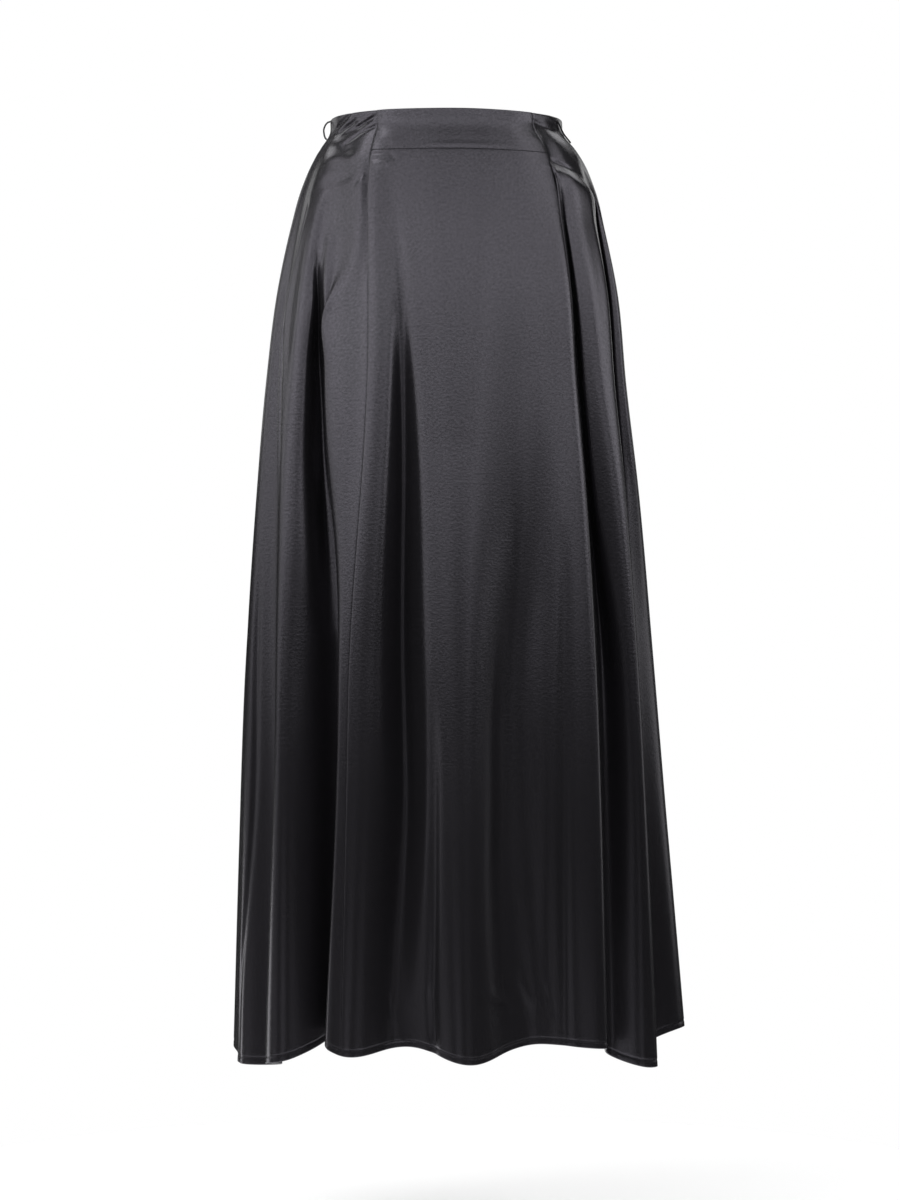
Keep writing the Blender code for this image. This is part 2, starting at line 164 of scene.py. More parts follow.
FOLDS = (
    Fold("right_side_seam", (-90, -92, -90, -89), (1, 5, 6), 18),
    Fold("right_side_crest", (-86, -84, -79, -77), (2, 7, 10), 21, 0, (2, 0)),
    Fold("right_side_trough", (-82, -78, -66, -65), (-3, -11, -17), 18, 0, (6, 2)),
    Fold("right_flute_edge", (-78, -72, -56, -57), (4, 11, 15), 11, 0, (9, 4)),
    Fold("right_flute_crest", (-71, -60, -51, -49.5), (5, 12, 17), 5, 0, (7.5, 0)),
    Fold("right_front_trough", (-63, -50.5, -38, -41.3), (-2, -26, -34), -20, -2, (10, 4)),
    Fold("right_front_edge", (-52, -40.5, -34.4, -36), (2, 9, 15), -9, -1.2, (8.5, 5)),
    Fold("right_pleat", (-43, -34.2, -33.2, -34.2), (1.2, 9.5, 14), -6, 0, (1.2, 1)),
    Fold("right_front_seam", (-40.5, -31.8, -31.5, -32.5), (2, 9, 13), -4),
    Fold("front_trough_right", (-28, -21, -17.5, -15), (-1, -7, -13), -12),
    Fold("front_crest_centre", (-2, -1, -0.5, 0.5), (2, 7, 14), 2),
    Fold("front_trough_left", (22, 22, 17.5, 21), (0, -8, -15), -12),
    Fold("front_crest_left", (31, 32, 30, 32), (2, 5, 4), -9),
    Fold("left_front_edge", (40, 40, 40, 39.5), (3, 11, 13), -6),
    Fold("left_front_seam", (43, 42, 42, 42), (2, 6, 7), -5),
    Fold("left_pleat", (45.5, 44, 45, 46), (-2, -4, -7), -1),
    Fold("left_front_trough", (50, 48, 51, 52), (-1, -14, -18), 8),
    Fold("left_flute_crest", (57, 55, 56, 57), (4, 12, 14), 20),
    Fold("left_flute_edge", (65, 62.5, 61, 64), (4, 12, 15), 21),
    Fold("left_side_trough", (76, 72, 71, 74), (-4, -8, -10), 10),
    Fold("left_side_seam", (90, 86, 86, 86), (2, 12, 32), -8),
    Fold("left_side_crest", (96, 92, 91, 93), (1, 9, 30), -6),
    Fold("back_trough_1", (105, 102, 101, 104), (-2, -8, -12), -2),
    Fold("back_crest_1", (115, 114, 112, 113), (3, 10, 16), 6),
    Fold("back_trough_2", (129, 128, 127, 126), (-2, -8, -18), 0),
    Fold("back_crest_2", (144, 143, 141, 140), (3, 9, 15), 4),
    Fold("back_trough_3", (158, 158, 157, 156), (-1, -7, -14), -3),
    Fold("back_crest_3", (172, 172, 171, 170), (2, 8, 14), 2),
    Fold("back_trough_4", (187, 188, 189, 187), (-1, -8, -17), -4),
    Fold("back_crest_4", (201, 202, 204, 203), (2, 10, 16), 3),
    Fold("back_trough_5", (216, 217, 218, 219), (-2, -9, -18), 0),
    Fold("back_crest_5", (230, 231, 232, 234), (3, 10, 17), 8),
    Fold("back_trough_6", (245, 246, 248, 249), (-2, -9, -14), 8),
    Fold("back_crest_6", (258, 257, 259, 260), (1, 6, 11), 12),
)

CREASES = (
    Crease("right_side_line", (
        (450, 53.7, 0, 3, 3), (530, 54, -1.2, 3, 4), (730, 54.1, -1.5, 3, 4),
        (830, 44.9, -1.5, 3, 4), (900, 35.7, -1.5, 3, 4), (973, 34, -1, 3, 4),
    )),
    Crease("right_flute_back", (
        (90, 131, 0, 4, 2.5), (140, 129.5, -7, 4, 2.5), (236, 135, -12, 4, 2.5),
        (400, 136, -14, 5, 2.5), (550, 135.2, -12, 5, 2.5), (650, 134, -6, 5, 3),
        (760, 133, 0, 5, 3),
    )),
    Crease("right_flute_edge", (
        (90, 139.1, 0, 3, 8), (139, 134, 1.5, 3, 8), (236, 139.9, 2.5, 3, 10),
        (472, 141, 2.5, 3, 12), (724, 137.5, 2.5, 3, 12), (973, 133.5, 3, 3, 12),
    )),
    Crease("right_hip_crest", (
        (80, 180, 0, 10, 6), (102, 178.4, 2, 10, 6), (161, 169.6, 4, 11, 6),
        (216, 161.2, 4.5, 11, 8), (289, 156, 4.5, 11, 11), (360, 154, 4.5, 12, 14),
        (500, 153, 5, 13, 18), (750, 150, 5, 14, 20), (973, 148, 4, 14, 18),
    )),
    Crease("right_deep_slot", (
        (148, 186, 0, 3, 3), (168, 186.5, -4, 3, 3), (200, 187, -12, 4, 4), (225, 186, -18, 6, 5),
        (255, 186, -24, 8, 7), (285, 188, -26, 10, 9), (320, 190, -26, 12, 12),
        (360, 192, -24, 14, 14), (410, 196, -18, 16, 16), (470, 200, -10, 16, 16),
        (550, 200, 0, 16, 16),
    ), -5.0),
    Crease("right_lobe", (
        (120, 208, 0, 4, 14), (150, 207, 4, 4, 14), (180, 205, 7, 4, 13), (205, 205, 7.5, 4, 12),
        (235, 206, 4, 5, 12), (270, 208, 0, 6, 12),
    ), -5.0),
    Crease("right_deep_trough", (
        (260, 212, 0, 12, 6), (330, 212, -4, 15, 7), (450, 212, -8, 18, 7), (700, 212, -8, 20, 8),
        (973, 212, -4, 18, 8),
    )),
    Crease("right_seam_pleat", (
        (53, 291.8, 0, 1.6, 1.2), (60, 291.8, -1.4, 2.2, 1.2), (100, 291.8, -1.6, 1.8, 1.2),
        (150, 291.8, -1, 1.6, 1.2), (185, 291.8, 0, 1.6, 1.2),
    )),
    Crease("right_front_crest", (
        (220, 305, 0, 16, 18), (330, 308, 1, 18, 18), (470, 312, 3.5, 20, 18),
        (640, 312, 5, 20, 18), (800, 308, 4, 20, 18), (973, 304, 3, 18, 18),
    )),
    Crease("front_trough_right", (
        (60, 360, 0, 7, 7), (120, 362, -0.8, 7, 8), (180, 364, -3, 7, 8), (240, 365.5, -8, 9, 9),
        (305, 366, -14, 10, 11), (388, 367, -20, 12, 13), (469, 367, -24, 13, 15),
        (551, 367.5, -26, 14, 16), (634, 368, -26, 15, 17), (716, 367, -23, 16, 17),
        (798, 360, -18, 17, 17), (880, 351, -13, 17, 17), (973, 343, -7, 17, 17),
    ), -5.0),
    Crease("front_line_right", (
        (580, 399.2, 0, 6, 6), (673, 399.2, -2, 6, 6), (800, 395.6, -2.6, 6, 6),
        (930, 390.8, -2.4, 6, 6), (973, 390, -1.8, 6, 6),
    )),
    Crease("front_crest_centre", (
        (350, 428.1, 0, 26, 24), (469, 427.7, 2.5, 26, 24), (550, 426.5, 3.5, 26, 24),
        (710, 422.5, 4, 26, 24), (910, 417.7, 4, 26, 24), (973, 417, 4, 26, 24),
    )),
    Crease("front_trough_left", (
        (240, 535, 0, 20, 24), (330, 533, -0.8, 20, 24), (400, 528, -2.6, 20, 22),
        (473, 520, -5, 21, 22), (544, 512, -7.5, 22, 23), (614, 504, -9, 23, 24),
        (715, 498, -9, 24, 24), (800, 490, -8, 24, 24), (880, 487, -6.5, 24, 24),
        (973, 486, -4, 24, 24),
    )),
    Crease("front_crest_left", (
        (500, 541.1, 0, 12, 10), (614, 541.1, 1.5, 12, 10), (717, 538.7, 2, 12, 10),
        (874, 531.5, 2, 12, 10), (973, 530, 2, 12, 10),
    )),
    Crease("front_line_left", (
        (430, 561.1, 0, 6, 6), (490, 561.1, -1.4, 6, 6), (613, 557.9, -2.8, 6, 7),
        (716, 555.1, -3, 6, 7), (820, 551.5, -2.6, 6, 7), (973, 547, -1.6, 6, 7),
    )),
    Crease("left_front_edge", (
        (80, 586, 0, 8, 4), (150, 588, 1, 10, 4), (300, 588, 2, 12, 4), (700, 588, 2, 12, 4),
        (973, 588, 2, 12, 4),
    )),
    Crease("left_deep_trough", (
        (80, 623.5, 0, 4, 2), (110, 624, -5, 4, 2), (150, 624.5, -12, 5, 2.2),
        (190, 626.5, -18, 6, 2.6), (245, 630, -22, 7, 3.6), (290, 631.5, -22, 8, 4.2),
        (340, 632.5, -22, 9, 4.8), (410, 635, -22, 11, 5.5), (480, 641, -20, 15, 7),
        (550, 647, -16, 18, 10), (650, 648, -9, 20, 13), (760, 646, -4, 20, 14),
        (870, 643, 0, 20, 14),
    ), -5.0),
    Crease("left_flute_edge", (
        (73, 705.5, 0, 8, 3), (130, 705.5, 1.5, 8, 3), (300, 704, 2.5, 9, 3),
        (500, 700, 2.5, 10, 3), (700, 698.5, 2.5, 10, 3), (973, 699.5, 2.5, 10, 3),
    )),
    Crease("left_flute_back", (
        (70, 764, 0, 9, 5), (100, 764, -10, 9, 5), (170, 765, -14, 9, 5), (300, 766, -16, 10, 6),
        (380, 766, -12, 10, 6), (470, 766, 0, 10, 6),
    ), -5.0),
    Crease("left_side_ridge", (
        (60, 814.9, 0, 12, 12), (100, 814.9, 8, 12, 14), (200, 814.9, 10, 14, 16),
        (350, 814.9, 10, 15, 18), (430, 814.9, 5, 15, 18), (540, 814.9, 0, 15, 18),
    ), -5.0),
    Crease("left_back_edge", (
        (150, 840, 0, 9, 5), (350, 842, 2, 11, 5), (700, 845, 2.5, 12, 6), (973, 848, 2, 12, 7),
    )),
    Crease("left_back_slot", (
        (180, 856, 0, 4, 5), (350, 857, -4.5, 4, 7), (550, 857.5, -5, 5, 10),
        (780, 857, -1.5, 5, 10), (900, 857, 0, 5, 10),
    )),
    Crease("back_trough_1", (
        (140, 900, 0, 7, 7), (300, 903, -2.5, 9, 8), (550, 905, -3.5, 12, 9),
        (850, 902, -2.5, 12, 10), (973, 900, -1.5, 12, 10),
    )),
    Crease("back_edge_1", (
        (100, 940, 0, 8, 5), (250, 943, 2, 10, 5), (600, 945, 2.5, 12, 6), (973, 948, 2, 12, 7),
    )),
    Crease("back_slot_1", (
        (100, 953, 0, 4, 5), (220, 954, -5, 4, 6), (420, 955, -7, 4.5, 8), (600, 955, -5, 5, 10),
        (800, 954, 0, 5, 12),
    )),
    Crease("back_ridge_2", (
        (350, 1030, 0, 10, 10), (600, 1032, 1.5, 12, 12), (973, 1028, 2, 12, 12),
    )),
    Crease("back_line_2", (
        (480, 1078, 0, 6, 6), (660, 1079, -1.3, 6, 6), (900, 1076, -1.5, 6, 6),
        (973, 1075, -1, 6, 6),
    )),
    Crease("back_trough_3", (
        (200, 1128, 0, 10, 10), (400, 1130, -3, 14, 12), (700, 1132, -4, 16, 14),
        (973, 1134, -3, 16, 14),
    )),
    Crease("back_edge_3", (
        (300, 1187, 0, 12, 5), (500, 1189, 2, 14, 6), (800, 1192, 2.5, 14, 7),
        (973, 1194, 2, 12, 7),
    )),
    Crease("back_slot_4", (
        (160, 1254, 0, 4, 6), (320, 1254, -4.5, 4.5, 8), (500, 1253, -6, 5, 12),
        (720, 1252, -3, 6, 14), (900, 1252, 0, 6, 14),
    )),
    Crease("back_ridge_4", (
        (400, 1325, 0, 14, 14), (700, 1328, 2, 16, 14), (973, 1330, 2.5, 14, 14),
    )),
    Crease("back_line_5", (
        (500, 1370, 0, 6, 6), (700, 1372, -1.2, 6, 6), (950, 1374, -1.4, 6, 6),
        (973, 1374, -1.2, 6, 6),
    )),
    Crease("back_trough_5", (
        (150, 1396, 0, 8, 10), (350, 1398, -3.5, 9, 14), (600, 1400, -5, 10, 18),
        (973, 1402, -3, 12, 18),
    )),
    Crease("back_edge_5", (
        (120, 1459, 0, 10, 5), (300, 1461, 2, 12, 5), (600, 1463, 2.5, 14, 6),
        (973, 1466, 2.5, 14, 7),
    )),
    Crease("back_slot_6", (
        (120, 1473, 0, 4, 5), (280, 1474, -6, 4, 6), (480, 1474, -8, 4.5, 9),
        (680, 1473, -4, 5, 12), (850, 1473, 0, 5, 12),
    )),
    Crease("back_line_6", (
        (580, 1545, 0, 5, 6), (800, 1546, -1.3, 5, 6), (973, 1547, -1, 5, 6),
    )),
    Crease("back_ridge_6", (
        (200, 1568, 0, 8, 10), (500, 1569, 2, 10, 12), (973, 1570, 2, 10, 12),
    )),
)


# ---- Curves ----


def hermite(
    knots: np.ndarray, values: np.ndarray, slopes: np.ndarray, places: np.ndarray
) -> np.ndarray:
    """Read a cubic curve through values at rising knots, with the given slopes.

    Args:
        knots: Where the values are.
        values: One value or row of values for each knot.
        slopes: The curve's slope at each knot, shaped as values.
        places: Where the curve is read.

    Returns:
        The curve's values at the places.
    """
    gap = np.clip(np.searchsorted(knots, places, side="right") - 1, 0, len(knots) - 2)
    width = (knots[gap + 1] - knots[gap]).reshape(-1, *([1] * (values.ndim - 1)))
    part = (places - knots[gap]).reshape(width.shape) / width
    rest = 1.0 - part
    start = values[gap] * (1.0 + 2.0 * part) * rest**2 + slopes[gap] * width * part * rest**2
    end = values[gap + 1] * (3.0 - 2.0 * part) * part**2
    return start + end - slopes[gap + 1] * width * rest * part**2


def smooth_table(knots: np.ndarray, values: np.ndarray, places: np.ndarray) -> np.ndarray:
    """Read a table, whose rows are at the knots, on smooth curves at each of the places."""
    return hermite(knots, values, np.gradient(values, knots, axis=0), places)


def closed_slopes(knots: np.ndarray, values: np.ndarray) -> np.ndarray:
    """Work out the slopes of the smoothest closed curve through values.

    Args:
        knots: One more than the values, where the last closes the curve.
        values: One row for each place round the curve.

    Returns:
        One row of slopes for each row of values.
    """
    count = len(values)
    after = np.diff(knots)
    before = np.roll(after, 1)
    rise_after = (np.roll(values, -1, axis=0) - values) / after[:, None]
    rise_before = np.roll(rise_after, 1, axis=0)
    matrix = np.diag(2.0 * (before + after))
    for index in range(count):
        matrix[index, index - 1] += after[index]
        matrix[index, (index + 1) % count] += before[index]
    pull = 3.0 * (after[:, None] * rise_before + before[:, None] * rise_after)
    return np.linalg.solve(matrix, pull)


def unit(vectors: np.ndarray) -> np.ndarray:
    """Return vectors at length one."""
    return vectors / np.linalg.norm(vectors, axis=-1, keepdims=True)


def read_row(row: np.ndarray, columns: np.ndarray, places: np.ndarray) -> np.ndarray:
    """Read a row of points, one for each column, at places between the columns."""
    return np.stack([np.interp(places, columns, part) for part in row.T], axis=1)


def ease(share: np.ndarray) -> np.ndarray:
    """Return a share from 0 to 1 with soft ends."""
    held = np.clip(share, 0.0, 1.0)
    return held * held * (3.0 - 2.0 * held)


# ---- The skirt's surface ----


@dataclass(frozen=True)
class Lay:
    """Where a sheet's columns and rows lie on the form.

    Attributes:
        places: The columns' places round the skirt.
        drops: How far the rows are below the top edge.
        middle: The form's points, rows by columns by XYZ.
        outward: The directions straight out of the cloth.
        along: The directions towards the wearer's left.
        run: Metres along the cloth from the first column, rows by columns.
    """

    places: np.ndarray
    drops: np.ndarray
    middle: np.ndarray
    outward: np.ndarray
    along: np.ndarray
    run: np.ndarray


class SkirtForm:
    """The cloth's middle surface, read at a place round the skirt and a drop.

    A place is measured along the hem, from the right side seam towards the wearer's left.
    """

    def __init__(self, sections: tuple[Section, ...], folds: tuple[Fold, ...],
                 creases: tuple[Crease, ...]) -> None:
        """Lay out the fold lines.

        Args:
            sections: The plain form's level sections.
            folds: The fold lines, going round.
            creases: The long creases that the cloth has between and along them.
        """
        self.creases = creases
        self.names = [fold.name for fold in folds]
        self.section_drops = np.array([row.drop for row in sections])
        self.section_sizes = np.array(
            [(row.right, row.left, row.front, row.back) for row in sections]
        )
        self.turns = np.array([fold.turns for fold in folds]).T
        self.sways = np.array([fold.sway for fold in folds])
        self.spreads = np.array([(*fold.spread, 0.0, 0.0, 0.0) for fold in folds]).T
        self.stands = np.array([(0.0, *fold.stands) for fold in folds]).T
        self.dips = np.array([fold.dip for fold in folds]) * MM
        hem_points = self.fold_points(np.array([SKIRT_LENGTH]))[0]
        chords = np.linalg.norm(np.roll(hem_points, -1, axis=0) - hem_points, axis=1)
        self.knots = np.concatenate([[0.0], np.cumsum(chords)])

    def fold_points(self, drops: np.ndarray) -> np.ndarray:
        """Place each fold line at each drop.

        Args:
            drops: How far below the top edge.

        Returns:
            Rows by folds by XYZ.
        """
        levels = np.array(FOLD_LEVELS)
        swing = np.exp(-(((drops[:, None] - SWAY_DROP) / SWAY_REACH) ** 2))
        turns = smooth_table(levels, self.turns, drops) + self.sways * swing
        turns = np.radians(turns + smooth_table(np.array(SPREAD_LEVELS), self.spreads, drops))
        stands = smooth_table(levels, self.stands, drops) * MM
        sizes = smooth_table(self.section_drops, self.section_sizes, drops)
        half_width = np.where(np.sin(turns) < 0.0, sizes[:, 0:1], sizes[:, 1:2])
        depth = np.where(np.cos(turns) > 0.0, sizes[:, 2:3], sizes[:, 3:4])
        out_x = np.sin(turns) / half_width
        out_y = -np.cos(turns) / depth
        length = np.hypot(out_x, out_y)
        x = half_width * np.sin(turns) + stands * out_x / length
        y = -depth * np.cos(turns) + stands * out_y / length
        share = (drops / SKIRT_LENGTH)[:, None] ** DIP_POWER
        z = WAIST_RISE - drops[:, None] - self.dips * share
        return np.stack([x, y, z], axis=2)

    def points(self, places: np.ndarray, drops: np.ndarray) -> np.ndarray:
        """Read the surface.

        Args:
            places: Where round the skirt.
            drops: How far below the top edge.

        Returns:
            Rows by places by XYZ.
        """
        lines = self.fold_points(drops)
        rows, folds = lines.shape[:2]
        values = lines.transpose(1, 0, 2).reshape(folds, rows * 3)
        slopes = closed_slopes(self.knots, values)
        values = np.vstack([values, values[:1]])
        slopes = np.vstack([slopes, slopes[:1]])
        around = hermite(self.knots, values, slopes, places % self.knots[-1])
        return around.reshape(len(places), rows, 3).transpose(1, 0, 2)

    def along(self, places: np.ndarray, drops: np.ndarray) -> np.ndarray:
        """Return the directions round the skirt, towards the wearer's left."""
        return unit(self.points(places + PROBE, drops) - self.points(places - PROBE, drops))

    def outward(self, places: np.ndarray, drops: np.ndarray) -> np.ndarray:
        """Return the directions straight out of the cloth."""
        down = self.points(places, drops + PROBE) - self.points(places, drops - PROBE)
        return unit(np.cross(down, self.along(places, drops)))

    def lay(self, places: np.ndarray, drops: np.ndarray) -> Lay:
        """Lay a sheet's columns and rows on the fold lines' surface.

        Args:
            places: The columns' places round the skirt.
            drops: How far the rows are below the top edge.

        Returns:
            Where they lie.
        """
        middle = self.points(places, drops)
        steps = np.linalg.norm(np.diff(middle, axis=1), axis=2)
        run = np.concatenate([np.zeros((len(drops), 1)), np.cumsum(steps, axis=1)], axis=1)
        outward, along = self.outward(places, drops), self.along(places, drops)
        return Lay(places, drops, middle, outward, along, run)

    def crease_stand(self, crease: Crease, lay: Lay) -> np.ndarray:
        """Work out how far one long crease stands out of the fold lines' surface.

        Args:
            crease: The crease.
            lay: Where the sheet's columns and rows lie.

        Returns:
            Metres outwards, rows by columns.
        """
        places, run = lay.places, lay.run
        around = float(self.knots[-1])
        middle = (places[0] + places[-1]) / 2
        first = (run[:, 1] - run[:, 0]) / (places[1] - places[0])
        last = (run[:, -1] - run[:, -2]) / (places[-1] - places[-2])
        knots = np.array(crease.knots) * MM
        held = np.clip(lay.drops, knots[0, 0], knots[-1, 0])
        row = smooth_table(knots[:, 0], knots[:, 1:], held)
        line = (row[:, 0] - middle + around / 2) % around - around / 2 + middle
        at = np.array([np.interp(place, places, one) for place, one in zip(line, run)])
        at = at + np.minimum(line - places[0], 0.0) * first
        at = at + np.maximum(line - places[-1], 0.0) * last
        beside = run - at[:, None]
        soft = np.where(beside < 0.0, row[:, 2:3], row[:, 3:4])
        return row[:, 1:2] * np.exp(-((beside / soft) ** 2))

    def crease_push(self, lay: Lay) -> np.ndarray:
        """Work out how all the long creases move a sheet.

        Args:
            lay: Where the sheet's columns and rows lie.

        Returns:
            Rows by columns by XYZ.
        """
        push = np.zeros_like(lay.outward)
        for crease in self.creases:
            stand = self.crease_stand(crease, lay)[:, :, None]
            if crease.turn is None:
                push = push + lay.outward * stand
            else:
                turn = math.radians(crease.turn)
                push = push + np.array([math.sin(turn), -math.cos(turn), 0.0]) * stand
        return push

    def place_of(self, name: str) -> float:
        """Return the place of a fold line."""
        return float(self.knots[self.names.index(name)])

    def places_at(self, turns: np.ndarray) -> np.ndarray:
        """Return the places of turns that are measured at the waist, in degrees."""
        return np.interp(turns, self.turns[0], self.knots[:-1])

    def span(self, first: str, last: str) -> tuple[float, float]:
        """Find where a piece starts and ends, going towards the wearer's left.

        Args:
            first: The fold line where it starts.
            last: The fold line where it ends.

        Returns:
            The two places, the second past the first.
        """
        start = self.place_of(first)
        end = self.place_of(last)
        return start, end if end > start else end + float(self.knots[-1])


# ---- Finishes ----


class NodeBench:
    """A material's node tree, with short ways to add nodes and link them."""

    def __init__(self, name: str) -> None:
        """Make a Principled material.

        Args:
            name: The material's name.
        """
        self.material = bpy.data.materials.new(name)
        self.material.use_nodes = True
        self.tree = self.material.node_tree
        self.shader = self.tree.nodes["Principled BSDF"]

    def fill(self, node: bpy.types.Node, values: dict[str, object]) -> None:
        """Set a node's inputs, or link them where the value is another node's output.

        Args:
            node: The node.
            values: What its inputs hold or are linked to, by name.
        """
        for key, value in values.items():
            if isinstance(value, bpy.types.NodeSocket):
                self.tree.links.new(value, node.inputs[key])
            else:
                node.inputs[key].default_value = value

    def add(self, kind: str, values: dict[str, object] | None = None,
            **settings: object) -> bpy.types.Node:
        """Add a node.

        Args:
            kind: The node's type, without its ShaderNode prefix.
            values: What its inputs hold or are linked to, by name.
            settings: The node's own properties.

        Returns:
            The node.
        """
        node = self.tree.nodes.new("ShaderNode" + kind)
        for key, value in settings.items():
            setattr(node, key, value)
        self.fill(node, values or {})
        return node

    def ramp(self, factor: bpy.types.NodeSocket, low: tuple[float, ...], high: tuple[float, ...],
             ends: tuple[float, float] = (0.0, 1.0)) -> bpy.types.NodeSocket:
        """Blend two colours by a factor.

        Args:
            factor: The output that gives the factor.
            low: The colour at the factor's low end.
            high: The colour at its high end.
            ends: The factor's two ends.

        Returns:
            The output with the colour.
        """
        ramp = self.add("ValToRGB", {"Fac": factor})
        for stop, end, colour in zip(ramp.color_ramp.elements, ends, (low, high)):
            stop.position = end
            stop.color = (*colour, 1.0)
        return ramp.outputs["Color"]


@dataclass(frozen=True)
class SatinFinish:
    """Satin with vertical floats, a fine twill line under them, and a soft grain.

    Attributes:
        name: The material's name.
        deep: The cloth's colour between its threads.
        bright: The colour along its threads.
        roughness: How far the floats spread light.
        sheen: How much light the cloth's edge catches.
        tint: The colour of its shine.
        pitch: From one twill line to the next, in metres.
        twill_turn: Degrees that the twill lines lean.
        floats: How many floats there are in a metre across, and in a metre down.
        grain: How many of its slow uneven spots there are in a metre.
        gloss: How strongly it shines at its dullest and at its brightest spots.
        weave_relief: How high the threads stand, in metres.
        grain_relief: How high the cloth's slow unevenness stands, in metres.
    """

    name: str
    deep: tuple[float, float, float]
    bright: tuple[float, float, float]
    roughness: float
    sheen: float
    tint: tuple[float, float, float] = (0.91, 0.87, 1.0)
    pitch: float = 0.0006
    twill_turn: float = 63.0
    floats: tuple[float, float] = (1800.0, 260.0)
    grain: float = 380.0
    gloss: tuple[float, float] = (0.44, 0.76)
    weave_relief: float = 0.00001
    grain_relief: float = 0.0003

    def build(self) -> bpy.types.Material:
        """Build the material from the piece's own UV map, which is in metres.

        Returns:
            The material.
        """
        bench = NodeBench(self.name)
        uv = bench.add("UVMap", uv_map="cloth").outputs[0]
        tangent = bench.add("Tangent", direction_type="UV_MAP", uv_map="cloth").outputs[0]
        turned = bench.add(
            "Mapping", {"Vector": uv, "Rotation": (0.0, 0.0, math.radians(self.twill_turn))}
        )
        twill = bench.add(
            "TexWave",
            {"Vector": turned.outputs[0], "Scale": math.tau / (self.pitch * 20.0),
             "Distortion": 1.5, "Detail": 1.0},
            bands_direction="X",
        )
        floats = bench.add("Mapping", {"Vector": uv, "Scale": (*self.floats, 1.0)})
        uneven = {"Detail": 3.0, "Roughness": 0.6}
        threads = bench.add("TexNoise", {"Vector": floats.outputs[0], "Scale": 1.0, **uneven})
        grain = bench.add("TexNoise", {"Vector": uv, "Scale": self.grain, **uneven}).outputs["Fac"]
        gloss = bench.add(
            "MapRange",
            {"Value": grain, "From Min": 0.3, "From Max": 0.7,
             "To Min": self.gloss[0], "To Max": self.gloss[1]},
        )
        blend = bench.add(
            "Mix", {"Factor": 0.35, "A": threads.outputs["Fac"], "B": twill.outputs["Fac"]},
            data_type="FLOAT",
        ).outputs["Result"]
        colour = bench.ramp(blend, self.deep, self.bright, (0.25, 0.75))
        fine = bench.add(
            "Bump", {"Height": blend, "Strength": 0.5, "Distance": self.weave_relief}
        )
        slow = bench.add(
            "Bump", {"Height": grain, "Normal": fine.outputs["Normal"], "Strength": 0.6,
                     "Distance": self.grain_relief},
        )
        bench.fill(bench.shader, {
            "Base Color": colour, "Normal": slow.outputs["Normal"], "Tangent": tangent,
            "Roughness": self.roughness, "Anisotropic": 0.2,
            "Specular IOR Level": gloss.outputs["Result"], "Specular Tint": (*self.tint, 1.0),
            "Sheen Weight": self.sheen, "Sheen Roughness": 0.35,
        })
        return bench.material


@dataclass(frozen=True)
class ThreadFinish:
    """Sewing thread or fine cord, with a slight twist along it.

    Attributes:
        name: The material's name.
        colour: Its middle colour.
        roughness: How far it spreads light.
    """

    name: str
    colour: tuple[float, float, float]
    roughness: float

    def build(self) -> bpy.types.Material:
        """Build the material, with its grain on Object coordinates.

        Returns:
            The material.
        """
        bench = NodeBench(self.name)
        where = bench.add("TexCoord").outputs["Object"]
        noise = bench.add("TexNoise", {"Vector": where, "Scale": 2500.0, "Detail": 2.0})
        twist = noise.outputs["Fac"]
        low = tuple(0.7 * part for part in self.colour)
        high = tuple(1.35 * part for part in self.colour)
        bump = bench.add("Bump", {"Height": twist, "Strength": 0.4, "Distance": 0.0001})
        bench.fill(bench.shader, {
            "Base Color": bench.ramp(twist, low, high), "Normal": bump.outputs["Normal"],
            "Roughness": self.roughness, "Sheen Weight": 0.05,
        })
        return bench.material


# ---- Cloth pieces ----


@dataclass(frozen=True)
class Wrinkle:
    """A short soft ridge or trough that runs straight across a piece.

    Attributes:
        start: Share across the piece and drop where it starts.
        end: The same where it ends.
        height: Millimetres out of the cloth; negative for a trough.
        width: Millimetres from its line to where it has mostly gone.
        lean: How much steeper its upper side is than its lower one, from -1 to 1.
        fade: The share of its length over which each of its ends dies out.
    """

    start: tuple[float, float]
    end: tuple[float, float]
    height: float
    width: float
    lean: float = 0.0
    fade: float = 0.3


def read_wrinkles(*rows: tuple[float, ...]) -> tuple[Wrinkle, ...]:
    """Read rows of the share across and the drop at each end, the height, width and lean.

    Shares are of the piece's width; the lean may be left out; the rest is in millimetres.
    """
    return tuple(Wrinkle((row[0], row[1] * MM), (row[2], row[3] * MM), *row[4:]) for row in rows)


def stack_rows(
    blocks: list[tuple[np.ndarray, np.ndarray | float]]
) -> tuple[np.ndarray, np.ndarray]:
    """Join blocks of rows, each with its drops and how far they lie inside the surface."""
    insets = [np.broadcast_to(inset, drops.shape) for drops, inset in blocks]
    return np.concatenate([drops for drops, _ in blocks]), np.concatenate(insets)


